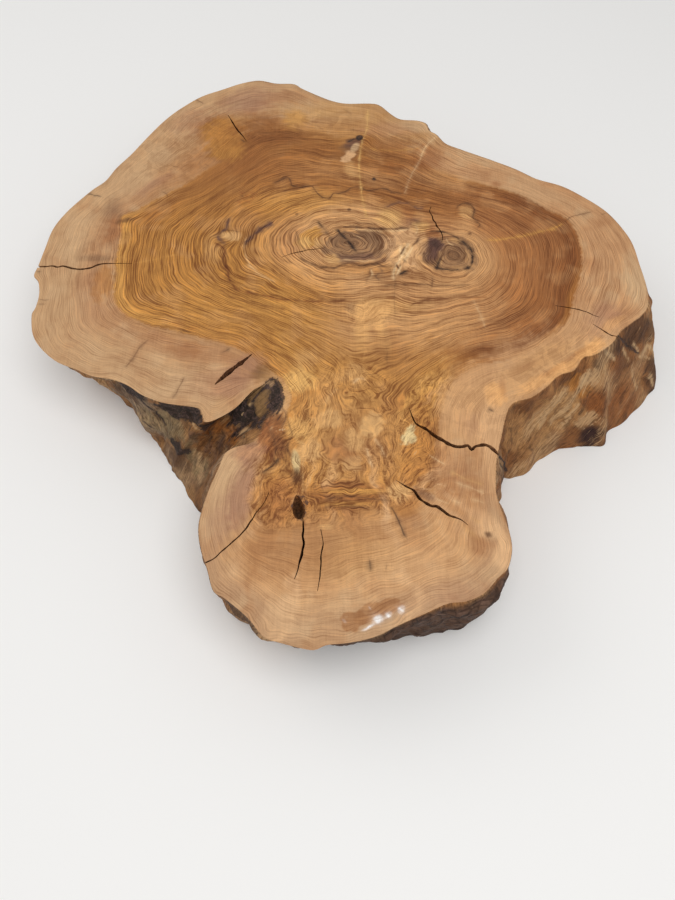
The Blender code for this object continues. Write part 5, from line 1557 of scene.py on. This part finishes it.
def sawnUnderside():
    # The second saw cut, left rough: the same rings, greyer, under the straight marks of the saw.
    look = {
        "roughness": 0.8, "ior": 1.45, "dust": "94806a", "dusty": 0.45, "yearsAcross": (0.6, 1.5, 1.5),
        "sawMark": 0.0035, "sawTurn": 0.35, "markLong": 0.04, "yearShare": 1.6, "markShare": 0.9,
        "darker": (0.45, 0.4, 0.36), "lighter": (1.3, 1.3, 1.3), "bump": 0.6, "bumpHeight": 0.0006,
    }
    finish, shader, node, place, tone, rings = newFinish("sawnOliveUnderside", look, "ringSpace")
    tone = node("mix", look["dusty"], tone, toColour(look["dust"]))
    years = pattern(node, node("times", rings, look["yearsAcross"]), 1.0, 3.0)
    across = node("stretch", place, (0, 0, look["sawTurn"]), (look["markLong"], 1.0, 1.0))
    marks = pattern(node, across, look["sawMark"], 2.0)
    signal = node("multiplyAdd", marks, look["markShare"], node("multiply", years, look["yearShare"]))
    darker = node("times", tone, look["darker"])
    colour = node("mix", node("multiply", signal, -1.0), tone, darker)
    colour = node("mix", signal, colour, node("times", tone, look["lighter"]))
    setInputs(shader, {"Base Color": colour,
                       "Normal": node("bump", marks, look["bump"], look["bumpHeight"])})
    return finish


def openCrack():
    # Split wood that sanding never reached: raw and dusty. Its walls are the sawn top's tone darkened,
    # partly the raw wood's own colour and partly painted shade, which deepens with depth down the crack.
    look = {
        "roughness": 0.9, "ior": 1.45, "shadedBy": 0.016, "dustSize": 1 / 420, "dustEdge": (-0.12, 0.12),
        "light": (0.62, 0.5, 0.42), "dim": (0.2, 0.14, 0.11), "deep": (0.07, 0.05, 0.04),
    }
    finish, shader, node, place, tone = newFinish("openCrackInOlive", look)
    top = slab["thickness"] * mm
    # painted shade: the crack's walls turn darker with depth below the sawn top
    down = node("range", node("split", place).outputs["Z"], top, top - look["shadedBy"])
    dust = node("range", pattern(node, place, look["dustSize"], 3.0), *look["dustEdge"])
    # lighter and dimmer blotches of raw wood, and the painted shade deep in the crack
    light, dim, deep = [node("times", tone, look[name]) for name in ("light", "dim", "deep")]
    setInputs(shader, {"Base Color": node("mix", down, node("mix", dust, light, dim), deep)})
    return finish


# The fields that the mesh carries for the materials, and how a material reads each kind.
meshFields = {
    "tone": "FLOAT_COLOR", "ringSpace": "FLOAT_VECTOR", "burr": "FLOAT", "quilt": "FLOAT",
    "fanSpace": "FLOAT_VECTOR", "bark": "FLOAT", "dark": "FLOAT", "pale": "FLOAT",
    "fibreSpace": "FLOAT_VECTOR", "show": "FLOAT",
}
outputOf = {"FLOAT": "Fac", "FLOAT_VECTOR": "Vector", "FLOAT_COLOR": "Color"}
valueOf = {"FLOAT": "value", "FLOAT_VECTOR": "vector", "FLOAT_COLOR": "color"}


def setField(mesh, name, values):
    kind = meshFields[name]
    layer = mesh.attributes.new(name, kind, "POINT")
    layer.data.foreach_set(valueOf[kind], np.ascontiguousarray(values, dtype=np.float32).ravel())


# How the slice lies on its flat map for baking: the top, the side in strips above it, and the
# underside at half size.
bakeMap = {
    "name": "OFBake", "underScale": 0.5, "underFrom": 0.66, "sideFrom": 0.705, "strips": 3,
    "stripRoom": 0.098, "margin": 0.003,
}


def addMap(mesh, place, depths, arcs):
    whole = arcs.max() + slab["rimStep"]
    strip = whole / bakeMap["strips"]
    corners = np.empty(len(mesh.loops), dtype=np.int32)
    mesh.loops.foreach_get("vertex_index", corners)
    sizes = [face.loop_total for face in mesh.polygons]
    kinds = np.repeat([face.material_index for face in mesh.polygons], sizes)
    firsts = np.repeat([face.loop_start for face in mesh.polygons], sizes)
    flat = place[corners, :2] - place[:, :2].min(0) + bakeMap["margin"]
    under = flat * bakeMap["underScale"] + (bakeMap["underFrom"], 0)
    along = arcs[corners]
    along = np.where(along < along[firsts] - whole / 2, along + whole, along)
    row = np.floor(along[firsts] / strip)
    height = bakeMap["sideFrom"] + row * bakeMap["stripRoom"] + depths[corners] * mm
    wall = np.column_stack([(along - row * strip) * mm + bakeMap["margin"], height])
    spots = np.where((kinds == 1)[:, None], wall, np.where((kinds == 2)[:, None], under, flat))
    layer = mesh.uv_layers.new(name=bakeMap["name"])
    layer.data.foreach_set("uv", spots.astype(np.float32).ravel())


# How plainly the rings show: most in the gold on the left, least in the pale outer wood; in the
# heartwood and the sapwood, and then in ovals of middle, half width, half height and value.
plainness = {"heart": 0.85, "sap": 0.3, "edge": 1.0, "share": 0.8}
plainnessAreas = [
    (-165, 610, 60, 75, 0.8), (200, 600, 80, 90, 0.55), (60, 225, 160, 130, 0.25),
    (-30, 600, 90, 60, 0.9), (120, 545, 60, 40, 0.8), (20, 760, 160, 40, 0.75),
    (180, 475, 100, 42, 0.2), (-175, 755, 110, 60, 0.22), (12, 762, 13, 20, 0.15),
    (8, 350, 36, 16, 1.3), (20, 632, 42, 26, 1.35), (20, 508, 50, 42, 0.45), (38, 543, 22, 15, 0.4),
    (14, 404, 34, 34, 0.3), (113, 618, 24, 24, 1.2), (69, 628, 17, 34, 0.12),
]


def lineShow(spots, plainRing):
    edge = figure["heartRings"]
    inSap = smooth(edge - plainness["edge"], edge + plainness["edge"], plainRing)
    show = plainness["heart"] + (plainness["sap"] - plainness["heart"]) * inSap
    for *area, value in plainnessAreas:
        show += (value - show) * oval(spots, *area, plainness["share"], 0, 0.5)
    return show


def makeSlice():
    verts, faces, kinds, zones, crackShade, arcs = slabMesh(strokeRowsOf())
    print("slice mesh:", len(verts), "points,", sum(len(face) - 2 for face in faces), "triangles")
    spots, depths = verts[:, :2], verts[:, 2]
    place = np.column_stack([spots - middle, slab["thickness"] - depths]) * mm
    low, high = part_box("olive_slice")
    place = np.clip(place, low, high)

    mesh = bpy.data.meshes.new("oliveSlice")
    mesh.from_pydata(place.tolist(), [], faces)
    mesh.polygons.foreach_set("material_index", kinds.astype(np.int32))
    for finish in (sandedEndGrain(), weatheredSide(), sawnUnderside(), openCrack()):
        mesh.materials.append(finish)
    print("finishes made")

    ring, plainRing = ringNumber(spots)
    tone, dark, pale = topTone(spots, ring, plainRing, zones != 2)
    onSide = zones == 1
    bark = hasBark(spots) * smooth(*side["barkTop"], depths)
    inside = inRecess(spots) * weathering["recessBark"] * smooth(*weathering["barkDepth"], depths)
    bark = np.maximum(bark, inside)
    facing = np.empty(3 * len(spots))
    mesh.vertex_normals.foreach_get("vector", facing)
    facing = facing.reshape(-1, 3)[onSide] * (1, 1, -1)
    tone[onSide], dark[onSide], pale[onSide] = sideTone(
        spots[onSide], depths[onSide], facing, bark[onSide], crackShade[onSide])
    print("tones painted")

    drawn = figure["drawn"] * ring + figure["sapDrawn"] * np.maximum(0, ring - figure["heartRings"])
    long, strong, seat = figure["unevenYears"]
    drawn += strong * noiseAt(ring / long, 0.5, seat)
    fields = {
        "tone": np.column_stack([tone, np.ones(len(spots))]),
        "ringSpace": np.column_stack([drawn, spots / 100]),
        "burr": burrShare(spots), "quilt": mostOf(bend(spots, *brush["quiltBends"]), quilting),
        "fanSpace": fanSpace(spots), "bark": bark, "dark": dark, "pale": pale,
        "fibreSpace": fibreSpace(arcs, depths, spots), "show": lineShow(spots, plainRing),
    }
    for name, values in fields.items():
        setField(mesh, name, values)
    mesh.shade_smooth()
    mesh.set_sharp_from_angle(angle=math.radians(slab["sharpAngle"]))
    mesh.validate()
    addMap(mesh, place, depths, arcs)
    piece = bpy.data.objects.new("oliveSlice", mesh)
    bpy.context.scene.collection.objects.link(piece)
    return piece


studio = {
    "floor": "f3f2f0", "floorRoughness": 0.9, "floorReach": 6.0, "floorDrop": 0.0005,
    "world": "ffffff", "worldStrength": 0.52,
    "softbox": (0.25, -0.75, 1.9), "softboxSize": 1.6, "softboxPower": 19.0,
    "fill": (-1.4, 0.6, 1.3), "fillSize": 1.6, "fillPower": 6.0,
    "cameraHeight": 680.0,  # above the sawn top, over the zero of the plan
    "cameraTilt": 60.0,     # degrees below the horizon
    "lens": 36.0, "sensor": 36.0,
}


def addLight(name):
    light = bpy.data.lights.new(name, "AREA")
    light.shape, light.size, light.energy = "DISK", studio[name + "Size"], studio[name + "Power"]
    lamp = bpy.data.objects.new(name, light)
    lamp.location = studio[name]
    lamp.rotation_euler = (-Vector(studio[name])).to_track_quat("-Z", "Y").to_euler()
    bpy.context.scene.collection.objects.link(lamp)


def setStudio():
    scene = bpy.context.scene
    floor = bpy.data.meshes.new("floor")
    reach = studio["floorReach"]
    corners = [(-reach, -reach, 0), (reach, -reach, 0), (reach, reach, 0), (-reach, reach, 0)]
    floor.from_pydata(corners, [], [(0, 1, 2, 3)])
    paper = bpy.data.materials.new("matWhiteFloor")
    paper.use_nodes = True
    setInputs(paper.node_tree.nodes["Principled BSDF"],
              {"Base Color": toColour(studio["floor"]), "Roughness": studio["floorRoughness"]})
    floor.materials.append(paper)
    ground = bpy.data.objects.new("floor", floor)
    ground.location.z = -studio["floorDrop"]
    scene.collection.objects.link(ground)

    world = bpy.data.worlds.new("studio")
    world.use_nodes = True
    setInputs(world.node_tree.nodes["Background"],
              {"Color": toColour(studio["world"]), "Strength": studio["worldStrength"]})
    scene.world = world
    for name in ("softbox", "fill"):
        addLight(name)
    scene.view_settings.view_transform = "Standard"

    lens = bpy.data.cameras.new("camera")
    lens.lens, lens.sensor_width = studio["lens"], studio["sensor"]
    camera = bpy.data.objects.new("camera", lens)
    camera.location = Vector((*-middle, slab["thickness"] + studio["cameraHeight"])) * mm
    camera.rotation_euler = (math.radians(90 - studio["cameraTilt"]), 0, 0)
    scene.collection.objects.link(camera)
    scene.camera = camera


rimKnots = np.hstack([[row[:2] for row in rimRows], footShifts(rimRows)])
middle = np.array(slab["planMiddle"])
crackLines = {name: crackLine(*crack) for name, crack in cracks.items()}

oliveSlice = makeSlice()
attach(oliveSlice, "root")
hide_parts("olive_slice")
print("slice made")

setStudio()
print("studio set")
